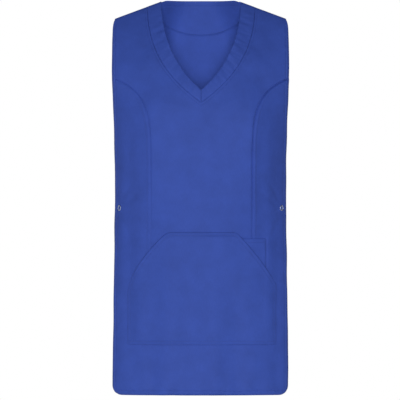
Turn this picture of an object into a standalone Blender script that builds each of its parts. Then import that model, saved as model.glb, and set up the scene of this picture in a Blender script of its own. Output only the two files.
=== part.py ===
"""Work vest: a sleeveless V-neck pull-over vest, open down both sides and closed by a snapped tab at
each side of the waist. X runs to the wearer's left, -Y is the front, Z is up. The origin is between
the high points of the shoulders, and a drop is a distance below that level. Sizes are in metres."""

import math

import bmesh
import bpy
import numpy as np
from mathutils import Vector
from mathutils.geometry import delaunay_2d_cdt

# Overall sizes
LENGTH = 0.850
NECK_HALF = 0.0866
SHOULDER_TIP = 0.1855
SHOULDER_SLOPE = 0.370
NECK_RISE = 2.2
NECK_RISE_EASE = 0.015
SHOULDER_ROUND = 0.140
SHOULDER_ROUND_POWER = 0.75
SHOULDER_ROWS = (0.0025, 0.008, 0.018, 0.032)
TIP_STEPS = (0.0022, 0.006, 0.013, 0.024)
ROW_MARGIN = 0.006
SHOULDER_SPACING = 0.012
RIDGE_REACH = 1e-5
MITRE_LEAST = 0.35
SIDE_TURN = 0.955
BACK_INSET = 0.0035
BACK_SHORTER = 0.003
CORNER_RADIUS = 0.020
CORNER_STEPS = 6

# Cloth
CLOTH = 0.0012
HEM_CLOTH = 0.0021
BAND_CLOTH = 0.0020
POCKET_CLOTH = 0.0012
SEAM_GAP = 0.0003
HEM_DEPTH = 0.0115
SIDE_HEM = 0.0125
HEM_STEP = 0.0012
HEM_TOP = 0.056
HEM_STATIONS = 44
HEM_SLOPE_AT = 0.006
HEM_SLOPE_REACH = 0.003

# How finely the cloth is faceted, and the half section it is laid out flat by
GRID = 0.019
GRID_ROW = 0.866
GRID_CLEAR = 0.42
MERGE = 1e-7
SLOPE_REACH = 0.0008
LAY_HALF = 0.188
LAY_DEPTH = 0.085
LAY_REACH = 1.15
LAY_SAMPLES = 400
SHARP_ANGLE = 50

# Sections from the shoulders to the hem. front and back are depths at the centre, and front_edge
# and back_edge are depths at the side edges, before the shoulders are rounded off.
SECTION_COLUMNS = ("drop", "half_width", "front", "front_edge", "back", "back_edge")
SECTIONS = (
    (0.000, 0.1855, 0.040, 0.036, 0.056, 0.038),
    (0.0375, 0.1865, 0.049, 0.038, 0.063, 0.039),
    (0.0485, 0.1892, 0.052, 0.039, 0.065, 0.040),
    (0.075, 0.1910, 0.060, 0.041, 0.070, 0.041),
    (0.127, 0.1919, 0.079, 0.043, 0.080, 0.041),
    (0.179, 0.1915, 0.098, 0.042, 0.086, 0.038),
    (0.257, 0.1881, 0.112, 0.034, 0.084, 0.034),
    (0.340, 0.1864, 0.111, 0.024, 0.076, 0.029),
    (0.412, 0.1856, 0.105, 0.015, 0.070, 0.026),
    (0.447, 0.1858, 0.103, 0.013, 0.070, 0.025),
    (0.490, 0.1864, 0.101, 0.017, 0.072, 0.026),
    (0.542, 0.1871, 0.101, 0.027, 0.078, 0.030),
    (0.646, 0.1881, 0.102, 0.042, 0.086, 0.039),
    (0.724, 0.1893, 0.103, 0.049, 0.088, 0.044),
    (0.850, 0.1903, 0.105, 0.055, 0.090, 0.048),
)

# Soft vertical folds of the front and of the back. height is out from the body, minus for a trough.
FOLD_COLUMNS = ("across", "top", "bottom", "spread", "height")
FOLD_FADE_IN = 0.10
FOLD_FADE_OUT = 0.06
FRONT_FOLDS = (
    (-0.171, 0.30, 0.86, 0.011, 0.0018),
    (-0.152, 0.24, 0.70, 0.010, -0.0017),
    (-0.128, 0.34, 0.80, 0.013, 0.0014),
    (-0.068, 0.50, 0.88, 0.024, 0.0036),
    (-0.022, 0.52, 0.80, 0.020, -0.0030),
    (0.030, 0.56, 0.88, 0.022, 0.0034),
    (0.078, 0.60, 0.88, 0.018, -0.0026),
    (0.128, 0.26, 0.58, 0.012, -0.0014),
    (0.148, 0.24, 0.74, 0.010, 0.0016),
    (0.166, 0.30, 0.86, 0.009, -0.0014),
)
BACK_FOLDS = (
    (-0.150, 0.30, 0.86, 0.014, 0.0030),
    (-0.112, 0.26, 0.76, 0.016, -0.0032),
    (-0.060, 0.48, 0.88, 0.022, 0.0036),
    (0.004, 0.34, 0.88, 0.020, -0.0034),
    (0.066, 0.42, 0.88, 0.022, 0.0036),
    (0.120, 0.24, 0.74, 0.015, -0.0032),
    (0.154, 0.36, 0.88, 0.013, 0.0030),
)

# Neck: each curve runs from the shoulder to the centre front, as (across, drop)
NECK_SHIFT = 0.0013
BAND_INNER = ((0.0866, 0.0), (0.0852, 0.0801), (0.0541, 0.1468), (0.0, 0.1926))
BAND_OUTER = ((0.1170, 0.0112), (0.1158, 0.1110), (0.0688, 0.1705), (0.0, 0.2207))
BAND_STATIONS = 22
BAND_SPACING = 0.010
BAND_PROUD = 0.0004
BACK_NECK_EASE = 0.0004
BACK_NECK_DROP = 0.0006
BACK_NECK_RISE = 0.0038
BACK_NECK_RISE_RUN = 0.014
BACK_NECK_STATIONS = 24
SHOULDER_NECK_CLEAR = 0.004
FACING_HALF = 0.118
FACING_END = 0.0205
FACING_CLOTH = 0.0010
FACING_DROP = 0.073
FACING_CURVE = 2.2
FACING_SETBACK = 0.008
FACING_STATIONS = 19
FACING_SHOULDER_STATIONS = 4
FACING_ROW_CLEAR = 0.002

# Armhole darts, from the armhole down, then straight to their ends under the pocket. DART_BENDS
# are of the wearer's right and left, as shares of the front's depth.
DART_SHIFT = 0.0025
DART = ((0.1960, 0.1650), (0.1294, 0.1885), (0.1101, 0.2192), (0.1095, 0.3400))
DART_END = 0.600
DART_BENDS = (0.12, 0.20)
DART_BEND_STARTS = (0.15, 0.25)
DART_BEND_ENDS = (0.40, 0.52)
DART_BEND_CURVE = 1.6
DART_TIP = 0.004
DART_MOUTH_RISE = 0.0012
DART_CLEAR = 0.006
DART_EDGE_CLEAR = 0.002
DART_STATIONS = 16

# Pockets: corners as (across, drop), and the points that the two curved mouths bend towards
POCKET_CORNERS = (
    (-0.1570, 0.7420),
    (-0.1570, 0.6188),
    (-0.0722, 0.4983),
    (0.0777, 0.4983),
    (0.1626, 0.6081),
    (0.1626, 0.7420),
)
POCKET_MOUTHS = ((-0.1375, 0.5599), (0.1160, 0.5381))
POCKET_MOUTH_STEPS = 6
POCKET_TOP_ROUND = 0.012
POCKET_LIFT = 0.0030
POCKET_LIFT_RUN = 0.014
POCKET_INSET = 0.93
POCKET_SPACING = 0.014
PHONE_CLOTH = 0.0011
PHONE_CORNERS = ((0.072, 0.632), (0.072, 0.5125), (0.1410, 0.5125), (0.1410, 0.632))

# Waist tabs and snaps
SNAP_DROP = 0.447
SNAP_ACROSS = 0.1750
TAB_HALF = 0.0225
TAB_CLOTH = 0.0018
TAB_FREE_END = 0.150
TAB_LEAVES_FRONT = 0.1848
TAB_SEWN = 0.020
TAB_SET_IN = 0.0015
TAB_SEAM_GAP = 0.0008
TAB_STATIONS = (7, 7, 4)
TAB_ROWS = 4
RING_RADIUS = 0.0060
RING_HOLE = 0.0034
SOCKET_RADIUS = 0.0054
SOCKET_HOLE = 0.0023
STUD_POST = 0.0018
STUD_FLANGE = 0.0050
SNAP_SIDES = 20
RIM_SOFTNESS = 0.35
POST_CHAMFER = 0.2
# Depths of the snap parts in from the outside of the front
SNAP_STACK = {
    "ring": (-0.0013, -0.0001),
    "socket": (0.0023, 0.0039),
    "stud": (0.0042, 0.0048),
    "post": (0.0026, 0.0048),
    "tab": (0.0051, 0.0069),
    "back_ring": (0.0077, 0.0087),
}

BLUE = (0.041, 0.076, 0.337, 1.0)
STEEL = (0.62, 0.64, 0.67, 1.0)
CLOTH_ROUGHNESS = 0.9
STEEL_ROUGHNESS = 0.35


def section(name, drop):
    """A column of SECTIONS at a drop, carried smoothly between the rows."""
    data = dict(zip(SECTION_COLUMNS, np.array(SECTIONS).T))
    xs = data["drop"]
    ys = data[name]
    slopes = np.gradient(ys, xs)
    drop = min(max(drop, xs[0]), xs[-1])
    i = min(int(np.searchsorted(xs, drop, side="right")) - 1, len(xs) - 2)
    run = xs[i + 1] - xs[i]
    t = (drop - xs[i]) / run
    hermite_0 = 2 * t**3 - 3 * t**2 + 1
    hermite_1 = t**3 - 2 * t**2 + t
    hermite_2 = 3 * t**2 - 2 * t**3
    hermite_3 = t**3 - t**2
    value = hermite_0 * ys[i] + hermite_1 * run * slopes[i]
    return float(value + hermite_2 * ys[i + 1] + hermite_3 * run * slopes[i + 1])


def ridge(x):
    """Height of the shoulder ridge: the sloping shoulder, carried up steeply inside the neck."""
    inside = max(NECK_HALF - abs(x), 0.0)
    rise = NECK_RISE * inside**2 / (inside + NECK_RISE_EASE)
    return -SHOULDER_SLOPE * (abs(x) - NECK_HALF) + rise


def step(value, start, end):
    t = min(max((value - start) / (end - start), 0.0), 1.0)
    return t * t * (3 - 2 * t)


def fold(rows, x, drop):
    """Sum of the soft folds at a point, fading in below each top and out above each bottom."""
    total = 0.0
    for across, top, bottom, spread, height in rows:
        fade = step(drop, top, top + FOLD_FADE_IN) * (1 - step(drop, bottom - FOLD_FADE_OUT, bottom))
        total += height * fade * math.exp(-(((x - across) / spread) ** 2))
    return total


def bow(share):
    """Shape of a section across: 1 at the centre, 0 at the side edge."""
    low = math.sqrt(1 - SIDE_TURN**2)
    return (math.sqrt(1 - (SIDE_TURN * min(share, 1.0)) ** 2) - low) / (1 - low)


def rounded(x, z):
    """0 on the shoulder ridge, rising quickly to 1 below it."""
    below = min(max((ridge(x) - z) / SHOULDER_ROUND, 0.0), 1.0)
    return (1 - (1 - below) ** 2) ** SHOULDER_ROUND_POWER


def dart_bend(x, drop, half_width):
    """How far out the darts shape the front: most at a dart's line, falling to the centre and the side."""
    across = abs(x)
    dart = DART[-1][0] + (DART_SHIFT if x > 0 else -DART_SHIFT)
    bend = min((across / dart) ** DART_BEND_CURVE, (half_width - across) / (half_width - dart))
    fade = step(drop, *DART_BEND_STARTS) * (1 - step(drop, *DART_BEND_ENDS))
    return DART_BENDS[int(x > 0)] * max(bend, 0.0) * fade


def front_depth(x, z):
    centre = section("front", -z)
    edge = section("front_edge", -z)
    half_width = section("half_width", -z)
    shape = bow(abs(x) / half_width) + dart_bend(x, -z, half_width)
    body = (edge + (centre - edge) * shape) * rounded(x, z)
    return -(body + SEAM_GAP / 2 + fold(FRONT_FOLDS, x, -z))


def back_depth(x, z):
    centre = section("back", -z)
    edge = section("back_edge", -z)
    share = abs(x) / (section("half_width", -z) - BACK_INSET)
    body = (edge + (centre - edge) * bow(share)) * rounded(x, z)
    return body + SEAM_GAP / 2 + fold(BACK_FOLDS, x, -z)


def outward(depth, x, z, facing):
    """Unit normal of a panel, away from the body. facing is -1 for the front and 1 for the back."""
    side = -1 if x < 0 else 1
    near = side * max(abs(x) - SLOPE_REACH, 0.0)
    far = near - side * 2 * SLOPE_REACH
    along_x = (depth(near, z) - depth(far, z)) / (near - far)
    high = min(z, ridge(x) - SLOPE_REACH)
    low = high - 2 * SLOPE_REACH
    along_z = (depth(x, high) - depth(x, low)) / (high - low)
    return (Vector((-along_x, 1.0, -along_z)) * facing).normalized()


def on_front(x, z):
    return Vector((x, front_depth(x, z), z)), outward(front_depth, x, z, -1)


def on_back(x, z):
    return Vector((x, back_depth(x, z), z)), outward(back_depth, x, z, 1)


def side_edge(drop, inset=0.0):
    return section("half_width", drop) - inset


def side_hem_line(drop, depth, inset=0.0):
    """Where the side hem's inner edge shows: its depth of cloth, foreshortened where cloth turns."""
    edge = side_edge(drop, inset)
    x = edge - HEM_SLOPE_AT
    rise = depth(x + HEM_SLOPE_REACH, -drop) - depth(x - HEM_SLOPE_REACH, -drop)
    slope = rise / (2 * HEM_SLOPE_REACH)
    return edge - SIDE_HEM / math.sqrt(1 + slope**2)


def bezier(points, count):
    """Points along a curve from its four controls, as (across, height)."""
    found = []
    for i in range(count + 1):
        t = i / count
        weights = ((1 - t) ** 3, 3 * (1 - t) ** 2 * t, 3 * (1 - t) * t**2, t**3)
        x = sum(w * p[0] for w, p in zip(weights, points))
        drop = sum(w * p[1] for w, p in zip(weights, points))
        found.append((x, -drop))
    return found


def beside(line, distance):
    """A line moved sideways, to the left of its direction of travel."""
    line = np.array(line)
    along = np.gradient(line, axis=0)
    along /= np.linalg.norm(along, axis=1)[:, None]
    return [tuple(p) for p in line + distance * np.stack([-along[:, 1], along[:, 0]], 1)]


def evenly(start, end, spacing):
    start, end = np.array(start), np.array(end)
    count = max(int(round(np.linalg.norm(end - start) / spacing)), 1)
    return [tuple(start + (end - start) * i / count) for i in range(count)]


def polygon(corners, spacing, rounds=()):
    """A closed outline through corners, with points along each side and some corners rounded."""
    loop = []
    for i, corner in enumerate(corners):
        before = np.array(corners[i - 1])
        after = np.array(corners[(i + 1) % len(corners)])
        corner = np.array(corner)
        radius = rounds[i] if rounds else 0.0
        if not radius:
            loop.append(tuple(corner))
            continue
        into = corner + radius * (before - corner) / np.linalg.norm(before - corner)
        out = corner + radius * (after - corner) / np.linalg.norm(after - corner)
        for t in (0.0, 0.25, 0.5, 0.75, 1.0):
            point = (1 - t) ** 2 * into + 2 * t * (1 - t) * corner + t**2 * out
            loop.append(tuple(point))
    filled = []
    for i, point in enumerate(loop):
        filled.extend(evenly(point, loop[(i + 1) % len(loop)], spacing))
    return filled


def inside(points, loop):
    loop = np.array(loop)
    ends = np.roll(loop, -1, axis=0)
    found = np.zeros(len(points), bool)
    for (x0, y0), (x1, y1) in zip(loop, ends):
        if y0 == y1:
            continue
        crosses = (points[:, 1] < y0) != (points[:, 1] < y1)
        at = x0 + (points[:, 1] - y0) * (x1 - x0) / (y1 - y0)
        found ^= crosses & (points[:, 0] < at)
    return found


def clearance(points, lines):
    """Distance of each point from the nearest of the lines."""
    nearest = np.full(len(points), np.inf)
    for line in lines:
        line = np.array(line)
        for start, end in zip(line[:-1], line[1:]):
            run = end - start
            length = max(float(run @ run), 1e-18)
            t = np.clip((points - start) @ run / length, 0, 1)
            gap = np.linalg.norm(points - start - t[:, None] * run, axis=1)
            nearest = np.minimum(nearest, gap)
    return nearest


def around_length():
    """Distance around a middle section at even steps across, to lay the cloth out flat by."""
    xs = np.linspace(0, LAY_REACH * LAY_HALF, LAY_SAMPLES)
    shares = np.minimum(xs / LAY_HALF, 1.0)
    depths = np.array([LAY_DEPTH * bow(share) for share in shares])
    runs = np.hypot(np.diff(xs), np.diff(depths))
    return xs, np.concatenate([[0.0], np.cumsum(runs)])


def laid(points, back=False):
    """Points across the body laid out along the cloth or, with back, put where they came from."""
    xs, lengths = LAY
    points = np.array(points, float).reshape(-1, 2)
    source, target = (lengths, xs) if back else (xs, lengths)
    moved = np.interp(np.abs(points[:, 0]), source, target) * np.sign(points[:, 0])
    return np.stack([moved, points[:, 1]], axis=1)


def cut_cloth(loop, lines, spacing):
    """Triangles of a flat piece: its outline, the lines that cross it and a grid between them. The
    grid is the same for all pieces, so that pieces that lie on each other share their facets."""
    loop = laid(loop)
    lines = [laid(line) for line in lines]
    low, high = loop.min(axis=0), loop.max(axis=0)
    rise = spacing * GRID_ROW
    grid = []
    for j in range(math.floor(low[1] / rise), math.ceil(high[1] / rise) + 1):
        for i in range(math.floor(low[0] / spacing) - 1, math.ceil(high[0] / spacing) + 1):
            grid.append(((i + 0.5 * (j % 2)) * spacing, j * rise))
    grid = np.array(grid)
    grid = grid[inside(grid, loop)]
    marked = [np.vstack([loop, loop[:1]])] + lines
    grid = grid[clearance(grid, marked) > GRID_CLEAR * spacing]
    points = [Vector(p) for p in loop]
    links = [(i, (i + 1) % len(loop)) for i in range(len(loop))]
    for line in lines:
        first = len(points)
        points.extend(Vector(p) for p in line)
        links.extend((first + i, first + i + 1) for i in range(len(line) - 1))
    points.extend(Vector(p) for p in grid)
    flat, _, faces, _, _, _ = delaunay_2d_cdt(
        points, links, [list(range(len(loop)))], 1, MERGE
    )
    flat = np.array([tuple(p) for p in flat])
    faces = np.array([tuple(face) for face in faces])
    faces = faces[inside(flat[faces].mean(axis=1), loop)]
    used, faces = np.unique(faces, return_inverse=True)
    faces = faces.reshape(-1, 3)
    return [tuple(p) for p in laid(flat[used], back=True)], [tuple(map(int, f)) for f in faces]


LAY = around_length()


def material(name, colour, rough, metal):
    made = bpy.data.materials.new(name)
    made.use_nodes = True
    shader = made.node_tree.nodes["Principled BSDF"]
    shader.inputs["Base Color"].default_value = colour
    shader.inputs["Roughness"].default_value = rough
    shader.inputs["Metallic"].default_value = metal
    return made


def add_object(name, points, faces, look):
    mesh = bpy.data.meshes.new(name)
    mesh.from_pydata([tuple(p) for p in points], [], faces)
    shape = bmesh.new()
    shape.from_mesh(mesh)
    bmesh.ops.recalc_face_normals(shape, faces=shape.faces)
    shape.to_mesh(mesh)
    shape.free()
    mesh.shade_smooth()
    mesh.set_sharp_from_angle(angle=math.radians(SHARP_ANGLE))
    made = bpy.data.objects.new(name, mesh)
    made.data.materials.append(look)
    bpy.context.scene.collection.objects.link(made)
    return made


def sewn_piece(name, loop, lines, surface, over, under, look):
    """A piece of cloth between two skins. over and under give each skin's distance out from the
    surface at a point. At the shoulder ridge the inner skin drops straight down, as in a mitre."""
    flat, triangles = cut_cloth(loop, lines, GRID)
    top, bottom = [], []
    for x, z in flat:
        point, normal = surface(x, z)
        at_ridge = ridge(x) - z < RIDGE_REACH and abs(x) > NECK_HALF - SHOULDER_NECK_CLEAR
        for skin, offset in ((top, over(x, z)), (bottom, under(x, z))):
            if at_ridge:
                skin.append(point + Vector((0, 0, offset / max(normal.z, MITRE_LEAST))))
            else:
                skin.append(point + normal * offset)
    count = len(flat)
    faces = [tuple(face) for face in triangles]
    faces += [tuple(i + count for i in reversed(face)) for face in triangles]
    sides = {}
    for face in triangles:
        for i in range(3):
            a, b = face[i], face[(i + 1) % 3]
            if (b, a) in sides:
                del sides[(b, a)]
            else:
                sides[(a, b)] = True
    faces += [(b, a, a + count, b + count) for a, b in sides]
    return add_object(name, top + bottom, faces, look)


def both(side, line):
    return [(side * x, z) for x, z in line]


def side_run(inset, length):
    """The side edge of a panel from the shoulder tip to its rounded hem corner, as (across, drop)."""
    tip_drop = -ridge(SHOULDER_TIP - inset)
    run = [(SHOULDER_TIP - inset, -tip_drop)]
    for below in TIP_STEPS[:-1]:
        run.append((side_edge(tip_drop + below, inset), -tip_drop - below))
    stop = length - CORNER_RADIUS
    first = tip_drop + TIP_STEPS[-1]
    count = int(round((stop - first) / GRID))
    for i in range(count):
        drop = first + (stop - first) * i / count
        run.append((side_edge(drop, inset), -drop))
    centre = (side_edge(stop, inset) - CORNER_RADIUS, -stop)
    for i in range(CORNER_STEPS + 1):
        angle = math.radians(90 * i / CORNER_STEPS)
        x = centre[0] + CORNER_RADIUS * math.cos(angle)
        run.append((x, centre[1] - CORNER_RADIUS * math.sin(angle)))
    return run


def hem_lines(depth, inset, length, start_drop, step_in):
    """Inner edge of the side hems and of the bottom hem."""
    bottom = length - HEM_DEPTH - step_in
    drops = np.linspace(start_drop, bottom, HEM_STATIONS)
    right = [(side_hem_line(d, depth, inset) - step_in, -d) for d in drops]
    left = [(-x, z) for x, z in right]
    across = evenly(right[-1], left[-1], GRID)
    return right + across[1:] + left[::-1]


def hem_thickness(x, z, depth, inset, length):
    near_side = abs(x) > side_hem_line(-z, depth, inset) - HEM_STEP / 2
    near_bottom = -z > length - HEM_DEPTH - HEM_STEP / 2
    return HEM_CLOTH if near_side or near_bottom else CLOTH


def dart_line(side):
    curve = bezier(DART, DART_STATIONS)
    straight = evenly(curve[-1], (DART[-1][0], -DART_END), GRID)[1:]
    line = [p for p in curve if p[0] < side_edge(-p[1]) - DART_EDGE_CLEAR] + straight
    return [(x + side * DART_SHIFT, z) for x, z in line]


def side_with_dart(side):
    """The side edge from the shoulder to the hem, cut open along the armhole dart."""
    edge = side_run(0.0, LENGTH)
    dart = dart_line(side)
    mouth = dart[0][1] + DART_MOUTH_RISE
    upper = beside(dart, -SEAM_GAP / 2)
    lower = beside(dart, SEAM_GAP / 2)
    tip = (dart[-1][0], dart[-1][1] - DART_TIP)
    above = [p for p in edge if p[1] > mouth + DART_CLEAR]
    below = [p for p in edge if p[1] < mouth - DART_CLEAR]
    top_mouth = (side_edge(-mouth), mouth + SEAM_GAP / 2)
    low_mouth = (side_edge(-mouth), mouth - SEAM_GAP / 2)
    run = above + [top_mouth] + upper + [tip] + lower[::-1] + [low_mouth] + below
    return both(side, run)


def front_loop():
    outer = bezier(BAND_OUTER, BAND_STATIONS)
    neck = beside(outer, SEAM_GAP / 2)
    right_neck = [(x + NECK_SHIFT, z) for x, z in neck]
    left_neck = [(-x + NECK_SHIFT, z) for x, z in neck]
    low = (NECK_SHIFT, -BAND_OUTER[-1][1] - SEAM_GAP / 2)
    start_r = (BAND_OUTER[0][0] + NECK_SHIFT + SEAM_GAP / 2, 0.0)
    start_l = (-BAND_OUTER[0][0] + NECK_SHIFT - SEAM_GAP / 2, 0.0)
    shoulder_r = shoulder_points(start_r[0], SHOULDER_TIP)
    shoulder_l = shoulder_points(start_l[0], -SHOULDER_TIP)
    right = shoulder_r + side_with_dart(1)
    left = shoulder_l + side_with_dart(-1)
    hem = evenly(right[-1], left[-1], GRID)[1:]
    return right + hem + left[::-1] + left_neck[1:-1] + [low] + right_neck[1:-1][::-1]


def shoulder_points(start, end):
    xs = [p[0] for p in evenly((start, 0), (end, 0), SHOULDER_SPACING)]
    return [(x, ridge(x)) for x in xs]


def shoulder_rows(start, end, gap):
    """Lines just under the shoulder ridge, so that its rounding is followed."""
    rows = []
    for below in SHOULDER_ROWS:
        x0 = start + (gap if start > 0 else -gap)
        x1 = end - (gap if end > 0 else -gap)
        xs = [p[0] for p in evenly((x0, 0), (x1, 0), SHOULDER_SPACING)] + [x1]
        rows.append([(x, ridge(x) - below) for x in xs])
    return rows


def front_lines():
    lines = []
    for step_in in (0.0, HEM_STEP):
        lines.append(hem_lines(front_depth, 0.0, LENGTH, HEM_TOP, step_in))
    for side in (1, -1):
        start = side * BAND_OUTER[0][0] + NECK_SHIFT
        lines += shoulder_rows(start, side * SHOULDER_TIP, ROW_MARGIN)
    for loop in (pocket_loop(), phone_loop()):
        lines.append(loop + loop[:1])
    return lines


def build_front(look):
    def under(x, z):
        return -hem_thickness(x, z, front_depth, 0.0, LENGTH)

    loop = front_loop()
    sewn_piece("front", loop, front_lines(), on_front, lambda x, z: 0.0, under, look)


def back_neck():
    """The back neck edge, from the wearer's right to left."""
    neck = []
    for share in np.linspace(-1, 1, BACK_NECK_STATIONS)[1:-1]:
        x = (NECK_HALF - BACK_NECK_EASE) * math.sin(share * math.pi / 2)
        rise = BACK_NECK_RISE * step(NECK_HALF - abs(x), 0.0, BACK_NECK_RISE_RUN)
        neck.append((x, min(ridge(x), rise) - BACK_NECK_DROP))
    return neck


def back_loop():
    shoulder = shoulder_points(NECK_HALF - BACK_NECK_EASE, SHOULDER_TIP - BACK_INSET)
    right = shoulder + side_run(BACK_INSET, LENGTH - BACK_SHORTER)
    hem = evenly(right[-1], (-right[-1][0], right[-1][1]), GRID)[1:]
    return right + hem + both(-1, right)[::-1] + back_neck()


def facing_shoulder():
    xs = np.linspace(NECK_HALF + SHOULDER_NECK_CLEAR, FACING_HALF, FACING_SHOULDER_STATIONS)
    return [(float(x), ridge(x) - FACING_SETBACK) for x in xs]


def facing_loop():
    low = []
    for x in np.linspace(-FACING_HALF, FACING_HALF, FACING_STATIONS)[1:-1]:
        share = (abs(x) / FACING_HALF) ** FACING_CURVE
        low.append((float(x), -FACING_DROP + (FACING_DROP - FACING_END) * share))
    right = facing_shoulder()
    return both(-1, right)[::-1] + back_neck() + right + low[::-1]


def back_lines():
    lines = []
    for step_in in (0.0, HEM_STEP):
        depth_in = hem_lines(back_depth, BACK_INSET, LENGTH - BACK_SHORTER, HEM_TOP, step_in)
        lines.append(depth_in)
    for side in (1, -1):
        tip = side * (SHOULDER_TIP - BACK_INSET)
        lines += shoulder_rows(side * (FACING_HALF + FACING_ROW_CLEAR), tip, ROW_MARGIN)
    loop = facing_loop()
    return lines + [loop + loop[:1]]


def build_back(look):
    def under(x, z):
        return -hem_thickness(x, z, back_depth, BACK_INSET, LENGTH - BACK_SHORTER)

    sewn_piece("back", back_loop(), back_lines(), on_back, lambda x, z: 0.0, under, look)


def build_facing(look):
    over = CLOTH + SEAM_GAP
    sewn_piece("back_neck_facing", facing_loop(), back_lines(), on_back, lambda x, z: -over,
               lambda x, z: -over - FACING_CLOTH, look)


def band_loop(side):
    inner = bezier(BAND_INNER, BAND_STATIONS)
    outer = bezier(BAND_OUTER, BAND_STATIONS)
    gap = SEAM_GAP / 2
    outer = beside(outer, -gap)
    across = evenly(inner[0], outer[0], BAND_SPACING)
    top = [(x, ridge(x + side * NECK_SHIFT)) for x, _ in across]
    top.append((outer[0][0], ridge(outer[0][0] + side * NECK_SHIFT)))
    inner_end = (gap, inner[-1][1] - gap)
    outer_end = (gap, outer[-1][1])
    loop = top + outer[1:-1] + [outer_end, inner_end] + inner[1:-1][::-1]
    return [(side * x + NECK_SHIFT, z) for x, z in loop]


def build_band(side, word, look):
    middle = []
    inner_edge = bezier(BAND_INNER, BAND_STATIONS)[1:-1]
    for inner, outer in zip(inner_edge, bezier(BAND_OUTER, BAND_STATIONS)[1:-1]):
        x = (inner[0] + outer[0]) / 2
        z = (inner[1] + outer[1]) / 2
        middle.append((side * x + NECK_SHIFT, z))
    sewn_piece("neck_band_" + word, band_loop(side), [middle], on_front, lambda x, z: BAND_PROUD,
               lambda x, z: BAND_PROUD - BAND_CLOTH, look)


def pocket_lift(x, z):
    """How far the pocket stands off the front: seated at its sewn edges, loose at its mouths."""
    sides = min(x - POCKET_CORNERS[0][0], POCKET_CORNERS[-1][0] - x)
    top = -POCKET_CORNERS[2][1] - z
    bottom = z + POCKET_CORNERS[0][1]
    sewn = max(min(sides, top, bottom), 0.0)
    return SEAM_GAP + (POCKET_LIFT - SEAM_GAP) * step(sewn, 0.0, POCKET_LIFT_RUN)


def pocket_mouth(start, bend, end):
    """Points along a curved mouth of the pocket, its end left out."""
    points = []
    for i in range(POCKET_MOUTH_STEPS):
        t = i / POCKET_MOUTH_STEPS
        spot = (1 - t) ** 2 * np.array(start) + 2 * t * (1 - t) * np.array(bend) + t**2 * np.array(end)
        points.append((spot[0], -spot[1]))
    return points


def pocket_loop():
    low_right, side_right, top_right, top_left, side_left, low_left = POCKET_CORNERS
    path = [(low_right[0], -low_right[1])] + pocket_mouth(side_right, POCKET_MOUTHS[0], top_right)
    path.append((top_right[0], -top_right[1]))
    path.extend(pocket_mouth(top_left, POCKET_MOUTHS[1], side_left))
    path.extend([(side_left[0], -side_left[1]), (low_left[0], -low_left[1])])
    rounds = [POCKET_TOP_ROUND if point == (top_left[0], -top_left[1]) else 0.0 for point in path]
    return polygon(path, POCKET_SPACING, rounds)


def phone_loop():
    return polygon([(x, -drop) for x, drop in PHONE_CORNERS], POCKET_SPACING)


def build_kangaroo_pocket(look):
    mouth = pocket_loop()
    middle = np.mean(mouth, axis=0)
    inset = [tuple(middle + (np.array(p) - middle) * POCKET_INSET) for p in mouth]
    sewn_piece("kangaroo_pocket", mouth, [inset + inset[:1]], on_front,
               lambda x, z: pocket_lift(x, z) + POCKET_CLOTH, pocket_lift, look)


def build_phone_pocket(look):
    dart = dart_line(1)
    lines = front_lines() + [dart + [(dart[-1][0], dart[-1][1] - DART_TIP)]]
    sewn_piece("phone_pocket", phone_loop(), lines, on_front,
               lambda x, z: SEAM_GAP + PHONE_CLOTH, lambda x, z: SEAM_GAP, look)


def tab_path(side, z):
    """Points of the middle of a tab's outer face in one level, from its free end to the back."""
    on_f, over, on_b = TAB_STATIONS
    points = []
    for x in np.linspace(TAB_FREE_END, TAB_LEAVES_FRONT, on_f):
        point, normal = on_front(side * x, z)
        points.append(point - normal * SNAP_STACK["tab"][0])
    back_edge = side_edge(-z, BACK_INSET)
    sewn = []
    for x in np.linspace(back_edge - TAB_SET_IN, back_edge - TAB_SEWN, on_b):
        point, normal = on_back(side * x, z)
        sewn.append(point - normal * (HEM_CLOTH + TAB_SEAM_GAP))
    start, end = points[-1], sewn[0]
    chord = (end - start).length
    into = (points[-1] - points[-2]).normalized() * chord
    out = (sewn[1] - sewn[0]).normalized() * chord
    for i in range(1, over):
        t = i / over
        point = start * (2 * t**3 - 3 * t**2 + 1) + into * (t**3 - 2 * t**2 + t)
        points.append(point + end * (3 * t**2 - 2 * t**3) + out * (t**3 - t**2))
    return points + sewn


def build_tab(side, word, look):
    levels = np.linspace(-SNAP_DROP + TAB_HALF, -SNAP_DROP - TAB_HALF, TAB_ROWS + 1)
    outer = [tab_path(side, z) for z in levels]
    count = len(outer[0])
    inner = []
    for j, row in enumerate(outer):
        inner.append([])
        for i, point in enumerate(row):
            along = row[min(i + 1, count - 1)] - row[max(i - 1, 0)]
            down = outer[min(j + 1, TAB_ROWS)][i] - outer[max(j - 1, 0)][i]
            normal = along.cross(down).normalized() * side
            inner[-1].append(point + normal * TAB_CLOTH)
    if (inner[0][0] - outer[0][0]).y < 0:
        raise ValueError("a tab's inner face is outside it")
    points = [p for row in outer for p in row] + [p for row in inner for p in row]
    half = len(points) // 2
    faces = []
    for j in range(TAB_ROWS):
        for i in range(count - 1):
            a = j * count + i
            faces.append((a, a + 1, a + count + 1, a + count))
            faces.append((a + half, a + count + half, a + count + 1 + half, a + 1 + half))
    rim = list(range(count)) + [j * count + count - 1 for j in range(1, TAB_ROWS + 1)]
    rim += [TAB_ROWS * count + i for i in range(count - 2, -1, -1)]
    rim += [j * count for j in range(TAB_ROWS - 1, 0, -1)]
    for i, a in enumerate(rim):
        b = rim[(i + 1) % len(rim)]
        faces.append((a, a + half, b + half, b))
    add_object("side_tab_" + word, points, faces, look)


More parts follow.
